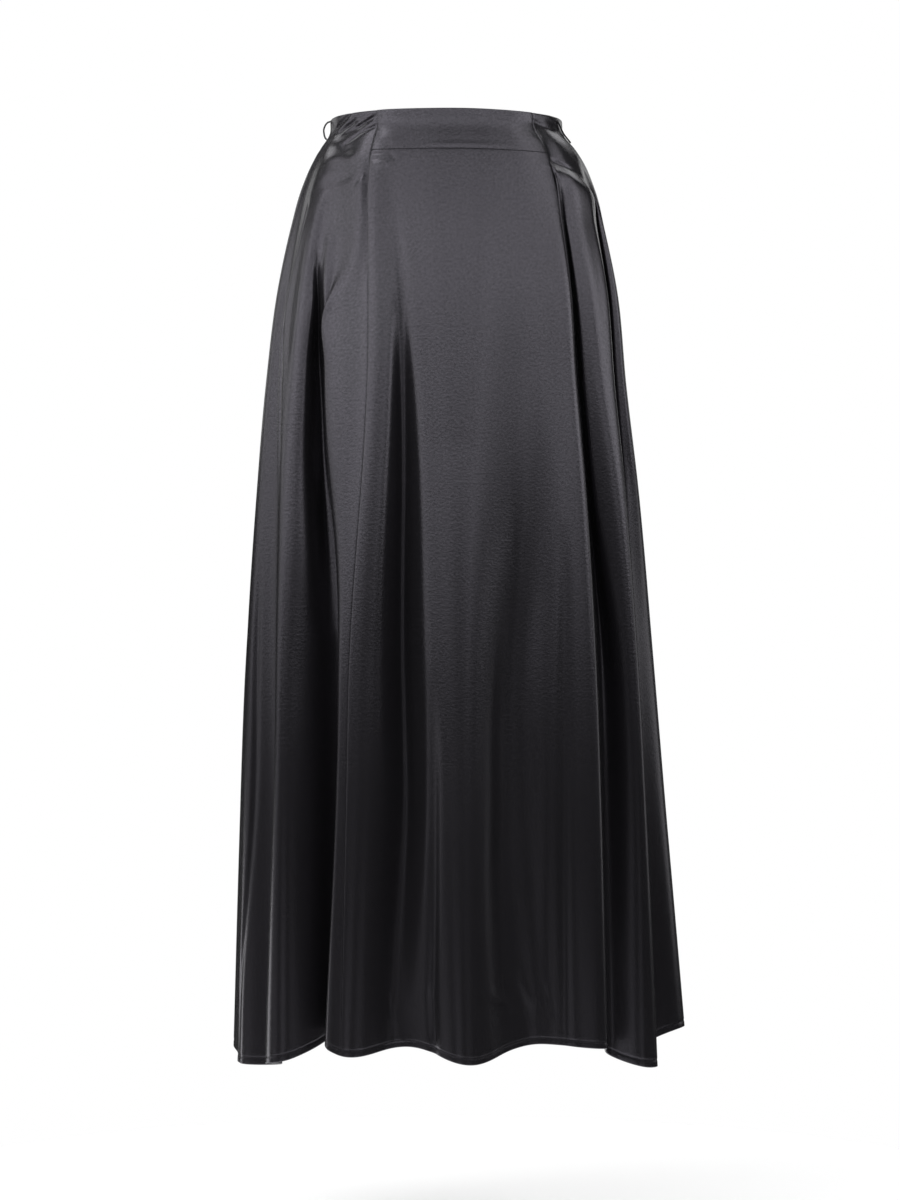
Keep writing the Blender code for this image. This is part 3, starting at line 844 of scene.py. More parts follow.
@dataclass
class ClothPiece:
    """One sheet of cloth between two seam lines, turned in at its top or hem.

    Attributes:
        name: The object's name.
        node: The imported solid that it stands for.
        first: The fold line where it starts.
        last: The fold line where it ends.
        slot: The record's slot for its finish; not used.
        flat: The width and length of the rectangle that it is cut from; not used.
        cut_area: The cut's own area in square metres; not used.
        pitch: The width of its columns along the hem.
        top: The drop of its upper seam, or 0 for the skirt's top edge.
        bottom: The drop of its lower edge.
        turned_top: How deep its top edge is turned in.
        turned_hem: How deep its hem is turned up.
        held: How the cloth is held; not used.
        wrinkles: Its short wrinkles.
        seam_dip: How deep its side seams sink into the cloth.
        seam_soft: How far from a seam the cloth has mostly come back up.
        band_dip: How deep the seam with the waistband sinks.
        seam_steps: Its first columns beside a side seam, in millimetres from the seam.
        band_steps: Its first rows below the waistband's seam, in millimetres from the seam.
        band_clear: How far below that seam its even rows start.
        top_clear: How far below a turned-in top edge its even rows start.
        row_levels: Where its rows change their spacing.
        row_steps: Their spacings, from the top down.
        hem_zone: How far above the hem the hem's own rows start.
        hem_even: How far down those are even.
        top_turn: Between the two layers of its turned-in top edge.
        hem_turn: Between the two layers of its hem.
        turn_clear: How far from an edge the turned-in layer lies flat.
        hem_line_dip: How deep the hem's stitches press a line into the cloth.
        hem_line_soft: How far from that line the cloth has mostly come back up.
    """

    name: str
    node: str
    first: str
    last: str
    slot: Slot
    flat: tuple[float, float]
    cut_area: float
    pitch: float = 0.0020
    top: float = 0.0
    bottom: float = SKIRT_LENGTH
    turned_top: float = 0.0
    turned_hem: float = 0.0
    held: str = "hung"
    wrinkles: tuple[Wrinkle, ...] = ()
    seam_dip: float = 0.0007
    seam_soft: float = 0.0008
    band_dip: float = 0.0002
    seam_steps: tuple[float, ...] = (0.0, 0.3, 0.7, 1.3, 2.2, 3.8)
    band_steps: tuple[float, ...] = (0.0, 0.3, 0.8, 1.6)
    band_clear: float = 0.0026
    top_clear: float = 0.0012
    row_levels: tuple[float, ...] = (0.064, 0.120, 0.870)
    row_steps: tuple[float, ...] = (0.0016, 0.0028, 0.0075, 0.0048)
    hem_zone: float = 0.0090
    hem_even: float = 0.0085
    top_turn: float = 0.0016
    hem_turn: float = 0.0012
    turn_clear: float = 0.0015
    hem_line_dip: float = 0.0004
    hem_line_soft: float = 0.0011

    def rows(self) -> tuple[np.ndarray, np.ndarray]:
        """Lay out the rows, from the turned-in top edge down to the turned-up hem.

        Returns:
            The rows' drops, and how far each lies inside the cloth's surface.
        """
        blocks: list[tuple[np.ndarray, np.ndarray | float]] = []
        even_top = 0.0
        bend = np.linspace(0.0, math.pi, 7)
        if self.turned_top:
            half, over = self.top_turn / 2, bend[1:-1]
            inside = np.linspace(self.turned_top, self.turn_clear, 5)
            blocks.append((inside, self.top_turn))
            blocks.append((half * (1.0 - np.sin(over)), half * (1.0 + np.cos(over))))
            even_top = self.top_clear
        elif self.top:
            steps = np.array(self.band_steps) * MM
            blocks.append((self.top + steps, self.band_dip * np.exp(-steps / self.seam_soft)))
            even_top = self.top + self.band_clear
        hem_start = self.bottom - (self.hem_zone if self.turned_hem else 0.0)
        edges = (even_top, *self.row_levels, hem_start)
        for upper, lower, step in zip(edges, edges[1:], self.row_steps):
            blocks.append((np.arange(upper, lower, step), 0.0))
        if self.turned_hem:
            half, edge = self.hem_turn / 2, self.bottom
            inside = np.linspace(edge - self.turn_clear, edge - self.turned_hem, 4)
            blocks.append((hem_start + self.hem_even * np.linspace(0.0, 1.0, 9)[:-1], 0.0))
            blocks.append((edge - half + half * np.sin(bend), half * (1.0 - np.cos(bend))))
            blocks.append((inside, self.hem_turn))
        return stack_rows(blocks)

    def columns(self, form: SkirtForm) -> np.ndarray:
        """Lay out the columns, even across the piece and close together at its seams.

        Args:
            form: The skirt's surface.

        Returns:
            The columns' places.
        """
        start, end = form.span(self.first, self.last)
        edge = np.array(self.seam_steps) * MM
        inner = end - start - 2.0 * (edge[-1] + self.pitch)
        count = max(2, round(inner / self.pitch))
        middle = np.linspace(start + edge[-1] + self.pitch, end - edge[-1] - self.pitch, count)
        return np.concatenate([start + edge, middle, (end - edge)[::-1]])

    def relief(self, lay: Lay) -> np.ndarray:
        """Work out how far the cloth stands out of the form.

        Args:
            lay: Where the sheet's columns and rows lie.

        Returns:
            Metres outwards, rows by columns.
        """
        width = lay.run[:, -1:]
        from_seam = np.minimum(lay.run, width - lay.run)
        stand = -self.seam_dip * np.exp(-from_seam / self.seam_soft)
        for wrinkle in self.wrinkles:
            stand = stand + self.wrinkle_relief(wrinkle, lay)
        if self.turned_hem:
            below = lay.drops - self.bottom + self.turned_hem
            line = np.exp(-((below / self.hem_line_soft) ** 2))
            stand = stand - self.hem_line_dip * line[:, None]
        return stand

    @staticmethod
    def wrinkle_relief(wrinkle: Wrinkle, lay: Lay) -> np.ndarray:
        """Work out one wrinkle's relief.

        Args:
            wrinkle: The wrinkle.
            lay: Where the sheet's columns and rows lie.

        Returns:
            Metres outwards, rows by columns.
        """
        width = lay.run[:, -1:]
        across = lay.run - wrinkle.start[0] * width
        down = lay.drops[:, None] - wrinkle.start[1]
        level = 0.5 * (wrinkle.start[1] + wrinkle.end[1])
        width_there = float(np.interp(level, lay.drops, width[:, 0]))
        line_across = (wrinkle.end[0] - wrinkle.start[0]) * width_there
        line_down = wrinkle.end[1] - wrinkle.start[1]
        length = math.hypot(line_across, line_down)
        along = (across * line_across + down * line_down) / length**2
        beside = (down * line_across - across * line_down) / length
        soft = wrinkle.width * MM
        scale = soft * (1.0 + wrinkle.lean * np.tanh(beside / soft))
        ends = ease(along / wrinkle.fade) * ease((1.0 - along) / wrinkle.fade)
        return wrinkle.height * MM * np.exp(-((beside / scale) ** 2)) * ends

    def surface(self, form: SkirtForm, places: np.ndarray, drops: np.ndarray,
                insets: np.ndarray) -> tuple[np.ndarray, np.ndarray]:
        """Work out the sheet's middle surface.

        Args:
            form: The skirt's surface.
            places: The columns' places.
            drops: The rows' drops.
            insets: How far each row lies inside the cloth's surface.

        Returns:
            Rows by columns by XYZ, and metres along the cloth from the first seam.
        """
        lay = form.lay(places, drops)
        stand = self.relief(lay) - insets[:, None]
        points = lay.middle + lay.outward * stand[:, :, None] + form.crease_push(lay)
        points[:, 0] += lay.along[:, 0] * SEAM_GAP / 2
        points[:, -1] -= lay.along[:, -1] * SEAM_GAP / 2
        return points, lay.run

    def build(self, form: SkirtForm, finish: bpy.types.Material) -> bpy.types.Object:
        """Build the sheet, give it its thickness, hang it from the root and hide the solid that it
        stands for.

        Args:
            form: The skirt's surface.
            finish: Its material.

        Returns:
            The piece.
        """
        places = self.columns(form)
        drops, insets = self.rows()
        points, run = self.surface(form, places, drops, insets)
        rise = np.linalg.norm(np.diff(points, axis=0), axis=2).mean(axis=1)
        lengths = np.concatenate([[0.0], np.cumsum(rise)])
        uvs = np.stack(
            [run - run[:, -1:] / 2.0, -np.repeat(lengths[:, None], len(places), axis=1)], axis=2
        )
        sheet = grid_object(self.name, points, uvs)
        sheet.data.materials.append(finish)
        shell = sheet.modifiers.new("cloth", "SOLIDIFY")
        shell.thickness = CLOTH
        shell.offset = 0.0
        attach(sheet, "root")
        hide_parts(self.node)
        return sheet

    def declare(self, sheet: bpy.types.Object, extras: list[bpy.types.Object]) -> None:
        """Take the sheet and the pieces that go with it, and do nothing with them."""


def add_object(name: str, data: bpy.types.ID) -> bpy.types.Object:
    """Put a mesh, a light or a camera into the scene.

    Args:
        name: The object's name.
        data: The mesh, the light or the camera.

    Returns:
        The object.
    """
    thing = bpy.data.objects.new(name, data)
    bpy.context.scene.collection.objects.link(thing)
    return thing


def mesh_from(model: bmesh.types.BMesh, name: str) -> bpy.types.Mesh:
    """Turn a model into a mesh, and free the model.

    Args:
        model: The model.
        name: The mesh's name.

    Returns:
        The mesh.
    """
    mesh = bpy.data.meshes.new(name)
    model.to_mesh(mesh)
    model.free()
    return mesh


def grid_object(name: str, points: np.ndarray, uvs: np.ndarray) -> bpy.types.Object:
    """Bend a flat grid to a table of points.

    Args:
        name: The object's name.
        points: Rows by columns by XYZ, where rows go down and columns to the wearer's left.
        uvs: Rows by columns by UV, in metres.

    Returns:
        The object, with smooth faces that point out of the skirt.
    """
    rows, columns = points.shape[:2]
    model = bmesh.new()
    bmesh.ops.create_grid(
        model, x_segments=columns - 1, y_segments=rows - 1, size=1.0, calc_uvs=False
    )
    mesh = mesh_from(model, name)
    flat = np.zeros(len(mesh.vertices) * 3, np.float32)
    mesh.vertices.foreach_get("co", flat)
    flat = flat.reshape(-1, 3)
    column = np.rint((flat[:, 0] + 1.0) / 2.0 * (columns - 1)).astype(int)
    row = np.rint((1.0 - flat[:, 1]) / 2.0 * (rows - 1)).astype(int)
    mesh.vertices.foreach_set("co", points[row, column].astype(np.float32).ravel())
    corners = np.zeros(len(mesh.loops), np.int32)
    mesh.loops.foreach_get("vertex_index", corners)
    layer = mesh.uv_layers.new(name="cloth")
    layer.uv.foreach_set("vector", uvs[row, column][corners].astype(np.float32).ravel())
    mesh.shade_smooth()
    mesh.update()
    return add_object(name, mesh)


@dataclass(frozen=True)
class Gathers:
    """The gathers of the back's elastic, uneven in width, height and length.

    Attributes:
        count: How many there are.
        seed: What the uneven draws start from.
        shift: How far each is off its own middle at the most, as a share of its own room.
        heights: The lowest and the highest.
        reaches: How far down the shortest and the longest run.
        sway: How far aside each runs at the most, as a share of the back's width.
        sway_drop: The drop over which it goes that far aside.
        width: How wide each is at the elastic, as a share of its own room.
        spread: How much wider it is at the end of its reach.
        sink: How far the elastic draws in the cloth between them.
        sink_reach: How far down it does so.
        edge: The share of the back's width, at each side, over which they die out.
    """

    count: int = 34
    seed: int = 11
    shift: float = 0.18
    heights: tuple[float, float] = (0.0016, 0.0028)
    reaches: tuple[float, float] = (0.035, 0.120)
    sway: float = 0.010
    sway_drop: float = 0.1
    width: float = 0.30
    spread: float = 0.9
    sink: float = 0.0012
    sink_reach: float = 0.08
    edge: float = 0.03

    def relief(self, lay: Lay, below: np.ndarray) -> np.ndarray:
        """Work out how far the gathers stand out of a sheet.

        Args:
            lay: Where the sheet's columns and rows lie.
            below: How far each row is below the elastic.

        Returns:
            Metres outwards, rows by columns.
        """
        draw = random.Random(self.seed)
        share = lay.run / lay.run[:, -1:]
        stand = np.zeros_like(share)
        below = below[:, None]
        for index in range(self.count):
            centre = (index + 0.5 + draw.uniform(-self.shift, self.shift)) / self.count
            height = draw.uniform(*self.heights)
            reach = draw.uniform(*self.reaches)
            sway = draw.uniform(-self.sway, self.sway)
            width = self.width / self.count * (1.0 + below / reach * self.spread)
            beside = (share - centre - sway * below / self.sway_drop) / width
            stand = stand + height * np.exp(-(beside**2)) * np.exp(-((below / reach) ** 2))
        sink = self.sink * np.exp(-((below / self.sink_reach) ** 2))
        return (stand - sink) * ease(np.minimum(share, 1.0 - share) / self.edge)


@dataclass
class BackPanel(ClothPiece):
    """The back panel, with gathers that run down from the elastic band and die out.

    Attributes:
        gathers: Its gathers.
    """

    gathers: Gathers = Gathers()

    def relief(self, lay: Lay) -> np.ndarray:
        """Add the gathers to the seams' and the hem's relief."""
        return super().relief(lay) + self.gathers.relief(lay, np.maximum(lay.drops - self.top, 0.0))


@dataclass
class Waistband(ClothPiece):
    """A folded band of cloth, closed at the top by its fold.

    Attributes:
        gathers: The elastic's gathers, where it has elastic.
        depth: How far apart its two layers are.
        lap: How far its face laps past the seam, and its inside stops short of it.
        tuck_start: How far above the seam the face's even rows end.
        tuck_steps: Its last rows, in millimetres above the lapped edge.
    """

    gathers: Gathers | None = None
    depth: float = 0.0009
    lap: float = 0.0005
    tuck_start: float = 0.0030
    tuck_steps: tuple[float, ...] = (2.0, 1.2, 0.6, 0.2, 0.0)

    def rows(self) -> tuple[np.ndarray, np.ndarray]:
        """Lay out the rows, up the inside, over the fold and down the face to the seam.

        Returns:
            The rows' drops, and how far each lies inside the cloth's surface.
        """
        half = self.depth / 2
        over = np.linspace(0.0, math.pi, 9)
        tuck = np.array(self.tuck_steps) * MM
        return stack_rows([
            (np.linspace(self.bottom - self.lap, self.turn_clear, 12), half),
            (half * (1.0 - np.sin(over)), half * np.cos(over)),
            (np.linspace(self.turn_clear, self.bottom - self.tuck_start, 18), -half),
            (self.bottom + self.lap - tuck, -half),
        ])

    def relief(self, lay: Lay) -> np.ndarray:
        """Add the elastic's gathers, where the band has them."""
        stand = super().relief(lay)
        return stand + self.gathers.relief(lay, 0.0 * lay.drops) if self.gathers else stand


# ---- Stitches and carriers ----


def tube(name: str, path: np.ndarray, radius: float, sides: int) -> bpy.types.Object:
    """Make a closed tube of cord along a path.

    Args:
        name: The object's name.
        path: The path's points.
        radius: The cord's radius.
        sides: How many faces go round it.

    Returns:
        The object.
    """
    points = len(path)
    model = bmesh.new()
    bmesh.ops.create_cone(
        model, cap_ends=True, segments=sides, radius1=radius, radius2=radius, depth=1.0
    )
    uprights = [edge for edge in model.edges if abs(edge.verts[0].co.z - edge.verts[1].co.z) > 0.5]
    bmesh.ops.subdivide_edges(model, edges=uprights, cuts=points - 2, use_grid_fill=False)
    ahead = unit(np.gradient(path, axis=0))
    side = np.cross(ahead, np.array([0.0, 0.0, 1.0]))
    weak = np.linalg.norm(side, axis=1) < NEAR_UPRIGHT
    side[weak] = np.cross(ahead[weak], np.array([0.0, 1.0, 0.0]))
    side = unit(side)
    lift = np.cross(side, ahead)
    for vert in model.verts:
        at = round((vert.co.z + 0.5) * (points - 1))
        vert.co = Vector(path[at] + side[at] * vert.co.x + lift[at] * vert.co.y)
    bmesh.ops.recalc_face_normals(model, faces=model.faces[:])
    mesh = mesh_from(model, name)
    mesh.shade_smooth()
    return add_object(name, mesh)


@dataclass
class Carrier:
    """A thin loop of cord at the side of the waist, with both its ends on the cloth.

    Attributes:
        name: The object's name.
        node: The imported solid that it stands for.
        turns: Degrees round at the waist, at its upper and lower ends.
        levels: The drops of its upper and lower ends.
        seat: How far the cord's centre is off the cloth at its ends.
        stand: How far its middle stands out past its ends.
        radius: The cord's radius.
        rings: How many points its path has.
        sides: How many faces go round it.
    """

    name: str
    node: str
    turns: tuple[float, float]
    levels: tuple[float, float]
    seat: float
    stand: float
    radius: float = 0.0009
    rings: int = 33
    sides: int = 10

    def build(self, form: SkirtForm, finish: bpy.types.Material) -> bpy.types.Object:
        """Build the loop.

        Args:
            form: The skirt's surface.
            finish: Its material.

        Returns:
            The piece.
        """
        sweep = np.linspace(0.0, math.pi, self.rings)
        share = (1.0 - np.cos(sweep)) / 2.0
        ends = form.places_at(np.array(self.turns))
        path = []
        for angle, part in zip(sweep, share):
            place = np.array([ends[0] + (ends[1] - ends[0]) * part])
            drop = np.array([self.levels[0] + (self.levels[1] - self.levels[0]) * part])
            foot = form.points(place, drop)[0, 0]
            out = form.outward(place, drop)[0, 0]
            path.append(foot + out * (self.seat + self.stand * math.sin(angle)))
        loop = tube(self.name, np.array(path), self.radius, self.sides)
        loop.data.materials.append(finish)
        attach(loop, "root")
        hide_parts(self.node)
        return loop


@dataclass
class HemStitching:
    """A row of short stitches a few millimetres above the hem.

    Attributes:
        above: How far the row is above the hem.
        pitch: From one stitch to the next, at the most.
        length: A stitch's length.
        radius: The thread's radius.
        margin: From a seam to where the row starts.
        sink: How far a stitch's ends lie below the cloth's face.
        bow: How much higher its middle lies than its ends.
        sides: How many faces go round it.
    """

    above: float = 0.0062
    pitch: float = 0.0034
    length: float = 0.0024
    radius: float = 0.00022
    margin: float = 0.002
    sink: float = 0.0003
    bow: float = 0.0004
    sides: int = 5

    def build(self, form: SkirtForm, piece: ClothPiece,
              finish: bpy.types.Material) -> bpy.types.Object:
        """Build one panel's stitches as one piece.

        Args:
            form: The skirt's surface.
            piece: The panel that they are sewn through.
            finish: The thread's material.

        Returns:
            The piece.
        """
        start, end = form.span(piece.first, piece.last)
        drops = piece.bottom - self.above + np.array([-PROBE, 0.0, PROBE])
        columns = piece.columns(form)
        sheet = piece.surface(form, columns, drops, np.zeros(3))[0]
        width = end - start - 2.0 * self.margin
        count = int(width / self.pitch)
        places = start + self.margin + (np.arange(count) + 0.5) * width / count
        feet = read_row(sheet[1], columns, places)
        ahead = unit(read_row(sheet[1], columns, places + PROBE) - feet)
        down = read_row(sheet[2] - sheet[0], columns, places)
        out = unit(np.cross(down, ahead))
        model = bmesh.new()
        for foot, away, run in zip(feet, out, ahead):
            made = bmesh.ops.create_cone(
                model, cap_ends=True, segments=self.sides, radius1=self.radius,
                radius2=self.radius, depth=self.length,
            )
            lift = np.cross(run, away)
            for vert in made["verts"]:
                bow = self.bow * (1.0 - (2.0 * vert.co.z / self.length) ** 2)
                height = CLOTH / 2 - self.sink + bow + vert.co.x
                vert.co = Vector(foot + away * height + lift * vert.co.y + run * vert.co.z)
        bmesh.ops.recalc_face_normals(model, faces=model.faces[:])
        name = piece.name + "_hem_stitches"
        mesh = mesh_from(model, name)
        mesh.shade_smooth()
        mesh.materials.append(finish)
        row = add_object(name, mesh)
        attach(row, "root")
        return row


# ---- Studio ----


# Each row of softboxes: degrees round towards the wearer's left, degrees up, and watts.
SOFTBOX_ROWS = {
    "top": (
        (-60, 54, 10.8), (-28, 54, 3.2), (68, 54, 2.7),
    ),
    "high": (
        (-76, 42, 3.1), (-44, 42, 0.3), (-28, 42, 0.7), (4, 42, 0.6), (20, 42, 1), (36, 42, 0.3),
        (52, 42, 2.4), (68, 42, 2.9),
    ),
    "upper": (
        (-108, 30, 0.3), (-92, 30, 1.8), (-76, 30, 2), (-60, 30, 3), (-44, 30, 4.3), (-28, 30, 3.1),
        (-12, 30, 3.2), (4, 30, 3.4), (20, 30, 2.4), (36, 30, 2.4), (52, 30, 2.1), (68, 30, 1.1),
    ),
    "middle": (
        (-108, 19, 3.9), (-92, 19, 1.6), (-76, 19, 2.3), (-60, 19, 3.9), (-44, 19, 2.2),
        (-28, 19, 1.8), (-12, 19, 0.9), (4, 19, 0.8), (20, 19, 1.6), (36, 19, 2.7), (52, 19, 0.3),
        (68, 19, 6.6), (84, 19, 2.8),
    ),
    "lower": (
        (-92, 10, 0.6), (-76, 10, 2), (84, 10, 0.7),
    ),
    "level": (
        (-115, 0, 0.2), (-92, 0, 1.5), (105, 0, 2.7),
    ),
    "low": (
        (-115, -20, 8), (-70, -20, 1.1), (-27, -20, 1.9), (17, -20, 1),
    ),
    "back": (
        (132, 48, 5), (158, 50, 5.5), (-158, 50, 5.5), (-132, 48, 5), (145, 18, 2.5),
        (-145, 18, 2.5),
    ),
}


@dataclass(frozen=True)
class Softbox:
    """An oblong soft light that faces the skirt's middle.

    Attributes:
        name: The light's name.
        turn: Degrees round from the front towards the wearer's left.
        rise: Degrees up from level.
        power: Watts.
        size: Its width and height.
        reach: From the middle of the skirt to the light.
        middle: What it faces.
    """

    name: str
    turn: float
    rise: float
    power: float
    size: tuple[float, float] = (1.0, 0.92)
    reach: float = 2.6
    middle: tuple[float, float, float] = (0.0, 0.0, -0.47)

    def build(self) -> None:
        """Make the light."""
        light = bpy.data.lights.new(self.name, "AREA")
        light.shape = "RECTANGLE"
        light.size, light.size_y = self.size
        light.energy = self.power
        lamp = add_object(self.name, light)
        turn, rise = math.radians(self.turn), math.radians(self.rise)
        away = Vector(
            (math.sin(turn) * math.cos(rise), -math.cos(turn) * math.cos(rise), math.sin(rise))
        )
        lamp.location = Vector(self.middle) + away * self.reach
        lamp.rotation_euler = (-away).to_track_quat("-Z", "Y").to_euler()
        lamp.visible_camera = False


@dataclass
class Studio:
    """A pale floor, a white room, soft lights, and the camera at the photo's angle.

    Attributes:
        distance: From the skirt's axis to the camera.
        metres_a_pixel: At the skirt's axis, in the picture of 900 by 1200.
        yaw: Degrees that the camera stands round towards the wearer's right.
        eye_drop: How far the picture's middle is below the top edge.
        off_axis: Pixels from the skirt's axis to the picture's middle.
        picture: The picture's width and height in pixels.
        sensor: The camera's sensor width in millimetres.
        floor_drop: How far the floor is below the origin.
        floor_radius: The floor's radius.
        floor_colour: The floor's colour.
        floor_glow: How much light the floor gives of its own.
        room_light: How much light the white room gives.
    """

    distance: float = 3.4
    metres_a_pixel: float = 0.001065
    yaw: float = 5.0
    eye_drop: float = 0.5097
    off_axis: float = 3.0
    picture: tuple[int, int] = (900, 1200)
    sensor: float = 36.0
    floor_drop: float = 1.160
    floor_radius: float = 0.75
    floor_colour: tuple[float, float, float] = (0.92, 0.92, 0.92)
    floor_glow: float = 0.45
    room_light: float = 0.01

    def build(self) -> None:
        """Make the floor, the room, the lights and the camera."""
        self.build_floor()
        self.build_room()
        for row, entries in SOFTBOX_ROWS.items():
            for index, entry in enumerate(entries, start=1):
                Softbox(f"{row}_{index}", *entry).build()
        self.build_camera()

    def build_floor(self) -> None:
        """Make the round floor."""
        model = bmesh.new()
        bmesh.ops.create_circle(model, cap_ends=True, segments=96, radius=self.floor_radius)
        bmesh.ops.translate(model, verts=model.verts[:], vec=(0.0, 0.0, -self.floor_drop))
        mesh = mesh_from(model, "floor")
        bench = NodeBench("floor")
        bench.fill(bench.shader, {
            "Base Color": (*self.floor_colour, 1.0), "Roughness": 0.9,
            "Emission Color": (1.0, 1.0, 1.0, 1.0), "Emission Strength": self.floor_glow,
        })
        mesh.materials.append(bench.material)
        floor = add_object("floor", mesh)

    def build_room(self) -> None:
        """Make the room: white behind the skirt, and softer as light."""
        world = bpy.data.worlds.new("room")
        world.use_nodes = True
        bpy.context.scene.world = world
        tree = world.node_tree
        back = tree.nodes["Background"]
        back.inputs["Color"].default_value = (1.0, 1.0, 1.0, 1.0)
        path = tree.nodes.new("ShaderNodeLightPath")
        level = tree.nodes.new("ShaderNodeMapRange")
        level.inputs["To Min"].default_value = self.room_light
        level.inputs["To Max"].default_value = 1.0
        tree.links.new(path.outputs["Is Camera Ray"], level.inputs["Value"])
        tree.links.new(level.outputs["Result"], back.inputs["Strength"])

    def build_camera(self) -> None:
        """Make the camera, level, at the photo's angle and distance."""
        yaw = math.radians(-self.yaw)
        away = Vector((math.sin(yaw), -math.cos(yaw), 0.0))
        right = Vector((math.cos(yaw), math.sin(yaw), 0.0))
        middle = Vector((0.0, 0.0, WAIST_RISE - self.eye_drop))
        camera = bpy.data.cameras.new("camera")
        camera.sensor_width = self.sensor
        camera.lens = self.sensor * self.distance / (self.metres_a_pixel * max(self.picture))
        aside = right * (self.off_axis * self.metres_a_pixel)
        stand = add_object("camera", camera)
        stand.location = middle + away * self.distance + aside
        stand.rotation_euler = (-away).to_track_quat("-Z", "Y").to_euler()
        bpy.context.scene.camera = stand


# ---- Putting it together ----

SATIN = SatinFinish("satin", (0.007, 0.0065, 0.0075), (0.012, 0.0115, 0.013), 0.27, 0.03)
BAND = SatinFinish("waistband_satin", (0.008, 0.0075, 0.0085), (0.013, 0.0125, 0.014), 0.27, 0.03)
CORD = ThreadFinish("carrier_satin", (0.020, 0.019, 0.022), 0.35)
THREAD = ThreadFinish("thread", (0.007, 0.0068, 0.0078), 0.6)

RIGHT_GATHERS = read_wrinkles(
    (0.2, 15, 0.66, -2, -1.5, 1.5, 0.3), (0.26, 20, 0.62, 6, 0.9, 2),
    (0.32, 23.5, 0.74, 5, -1.5, 1.6, 0.3), (0.45, 24, 0.8, 8, 0.8, 2.2),
    (0.63, 19, 1.02, 4, -1.3, 1.4, 0.3), (0.72, 21.5, 1.02, 10.5, 0.7, 1.9),
    (0.6, 35, 0.82, 20.5, -1.3, 1.9, 0.2), (0.76, 24, 1.03, 15, -1.1, 1.3),
    (0.3, 31, 0.85, 43, -1.1, 5.5, 0.4), (0.38, 46, 0.95, 52, 1, 6), (0.45, 78, 0.92, 66, -0.8, 6),
    (0.84, 83, 0.99, 61, -0.9, 2.6), (0.05, 26, 0.34, 12, -1, 2.6, 0.4),
    (0.02, 42, 0.32, 26, 0.5, 3.6),
)
LEFT_GATHERS = read_wrinkles(
    (-0.3, 54.4, 1.02, 97.8, 2.6, 12, 0.62), (-0.03, 46.5, 0.42, 59, -1.2, 2.6, 0.3),
    (-0.3, 37.2, 1.02, 75.4, -2.2, 11, -0.45), (-0.02, 55, 0.07, 80, -1.3, 1.8, -0.2),
    (0.02, 66, 0.13, 130, -1, 2.6), (-0.1, 6, 0.48, 19, -0.8, 3, 0.4), (0.2, -1, 0.62, 7, 0.6, 2.6),
    (0.4, 5, 0.8, 28, -0.5, 2.2, 0.3), (0.55, 14, 0.95, 43, -0.6, 2.2, 0.3),
    (0.46, 33, 0.9, 64, 0.6, 3.6), (0.4, 54, 0.85, 90, -0.4, 3.6, 0.3),
)
BAND_PUCKERS = read_wrinkles(
    (-0.01, 6, 0.035, 8.5, -0.45, 0.9), (-0.01, 12.5, 0.045, 14.5, -0.4, 1.1),
    (-0.01, 19, 0.038, 20, -0.45, 0.9), (-0.01, 25, 0.06, 27.5, -0.4, 1.2),
    (-0.01, 31.5, 0.05, 33, -0.45, 1), (0.02, 27, 0.16, 36, 0.45, 4),
    (0.2, 38.5, 0.95, 37.5, 0.3, 1.6), (0.955, 10, 1.01, 12, -0.35, 1),
    (0.95, 24, 1.01, 27, -0.35, 1.1),
)
PANEL_PUCKERS = read_wrinkles(
    (0.01, 47, 0.1, 46, -0.4, 1.1), (0.01, 53, 0.07, 52, -0.4, 1), (0.01, 60, 0.13, 56, 0.5, 2.6),
    (0.1, 44.5, 0.16, 56, -0.35, 1.4), (0.93, 50, 1, 48, -0.35, 1.1), (0.9, 58, 1, 54.5, 0.4, 2.2),
    (0.52, 902, 0.64, 933, 0.9, 4), (0.58, 885, 0.66, 940, -0.9, 3.6),
    (0.66, 890, 0.72, 938, 0.8, 3.4), (0.74, 906, 0.79, 948, -0.8, 3.2),
    (0.14, 910, 0.19, 956, -0.8, 3.4), (0.3, 900, 0.33, 962, -0.9, 4.2),
)

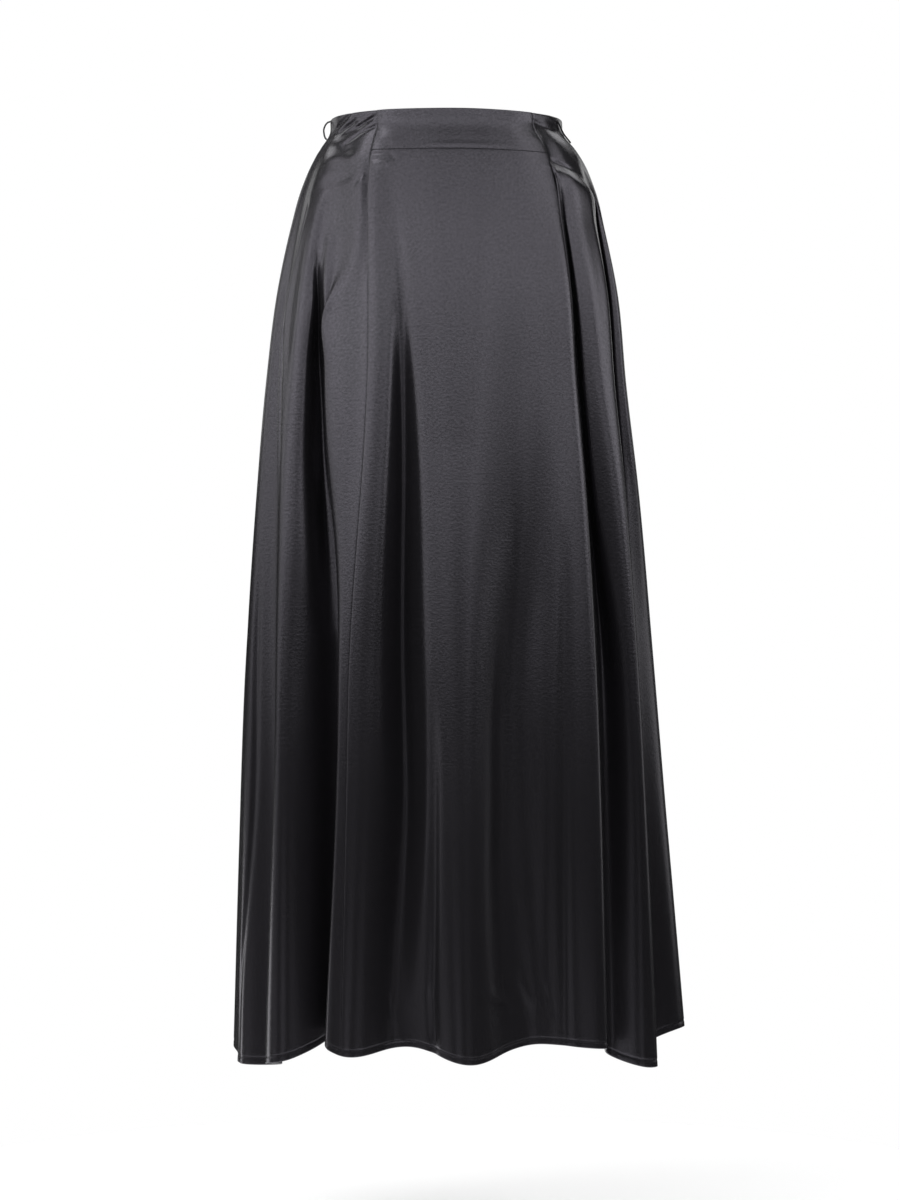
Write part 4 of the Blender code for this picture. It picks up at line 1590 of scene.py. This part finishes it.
FRONT_PANEL = ClothPiece(
    "centre_front", "front_panel", "right_front_seam", "left_front_seam", Slot.SATIN,
    flat=(0.310, 0.940), cut_area=0.241, top=BAND_HEIGHT, turned_hem=0.0065,
    wrinkles=PANEL_PUCKERS,
)
SIDE_FRONT_LEFT = ClothPiece(
    "left_side_front", "side_front_left", "left_front_seam", "left_side_seam", Slot.SATIN,
    flat=(0.222, 1.008), cut_area=0.152, turned_top=0.012, turned_hem=0.0065,
    wrinkles=LEFT_GATHERS,
)
SIDE_FRONT_RIGHT = ClothPiece(
    "right_side_front", "side_front_right", "right_side_seam", "right_front_seam", Slot.SATIN,
    flat=(0.301, 1.003), cut_area=0.208, turned_top=0.012, turned_hem=0.0065,
    wrinkles=RIGHT_GATHERS,
)
BACK_PANEL = BackPanel(
    "back_skirt", "back_panel", "left_side_seam", "right_side_seam", Slot.SATIN,
    flat=(0.812, 0.957), cut_area=0.600, pitch=0.0030, top=BAND_HEIGHT, turned_hem=0.0065,
    held="gathered",
)
FRONT_BAND = Waistband(
    "front_band", "front_waistband", "right_front_seam", "left_front_seam", Slot.BAND,
    flat=(0.194, 0.084), cut_area=0.0155, bottom=BAND_HEIGHT, held="stretched",
    wrinkles=BAND_PUCKERS,
)
BACK_BAND = Waistband(
    "back_band", "back_waistband", "left_side_seam", "right_side_seam", Slot.BAND,
    flat=(0.470, 0.084), cut_area=0.0390, pitch=0.0030, bottom=BAND_HEIGHT, held="gathered",
    gathers=Gathers(),
)
CARRIERS = (
    Carrier("right_loop", "carrier_right", (-90.0, -90.0), (0.0020, 0.0215), 0.0012, 0.0072),
    Carrier("left_loop", "carrier_left", (66.0, 82.0), (0.0040, 0.0240), 0.0011, 0.0007),
)


def main() -> None:
    """Build the skirt, its trimmings and the studio."""
    logging.basicConfig(level=logging.INFO, format="%(name)s: %(message)s")
    form = SkirtForm(SECTIONS, FOLDS, CREASES)
    satin, band = SATIN.build(), BAND.build()
    cord, thread = CORD.build(), THREAD.build()
    stitching = HemStitching()
    for panel in (FRONT_PANEL, SIDE_FRONT_LEFT, SIDE_FRONT_RIGHT, BACK_PANEL):
        sheet = panel.build(form, satin)
        stitches = stitching.build(form, panel, thread)
        panel.declare(sheet, [stitches])
        LOG.info("%s: %d faces before its thickness", sheet.name, len(sheet.data.polygons))
    for strip in (FRONT_BAND, BACK_BAND):
        sheet = strip.build(form, band)
        strip.declare(sheet, [])
        LOG.info("%s: %d faces before its thickness", sheet.name, len(sheet.data.polygons))
    for carrier in CARRIERS:
        loop = carrier.build(form, cord)
        LOG.info("%s: %d faces", loop.name, len(loop.data.polygons))
    Studio().build()
    bpy.context.scene.view_settings.view_transform = "Standard"


if __name__ == "__main__":
    main()
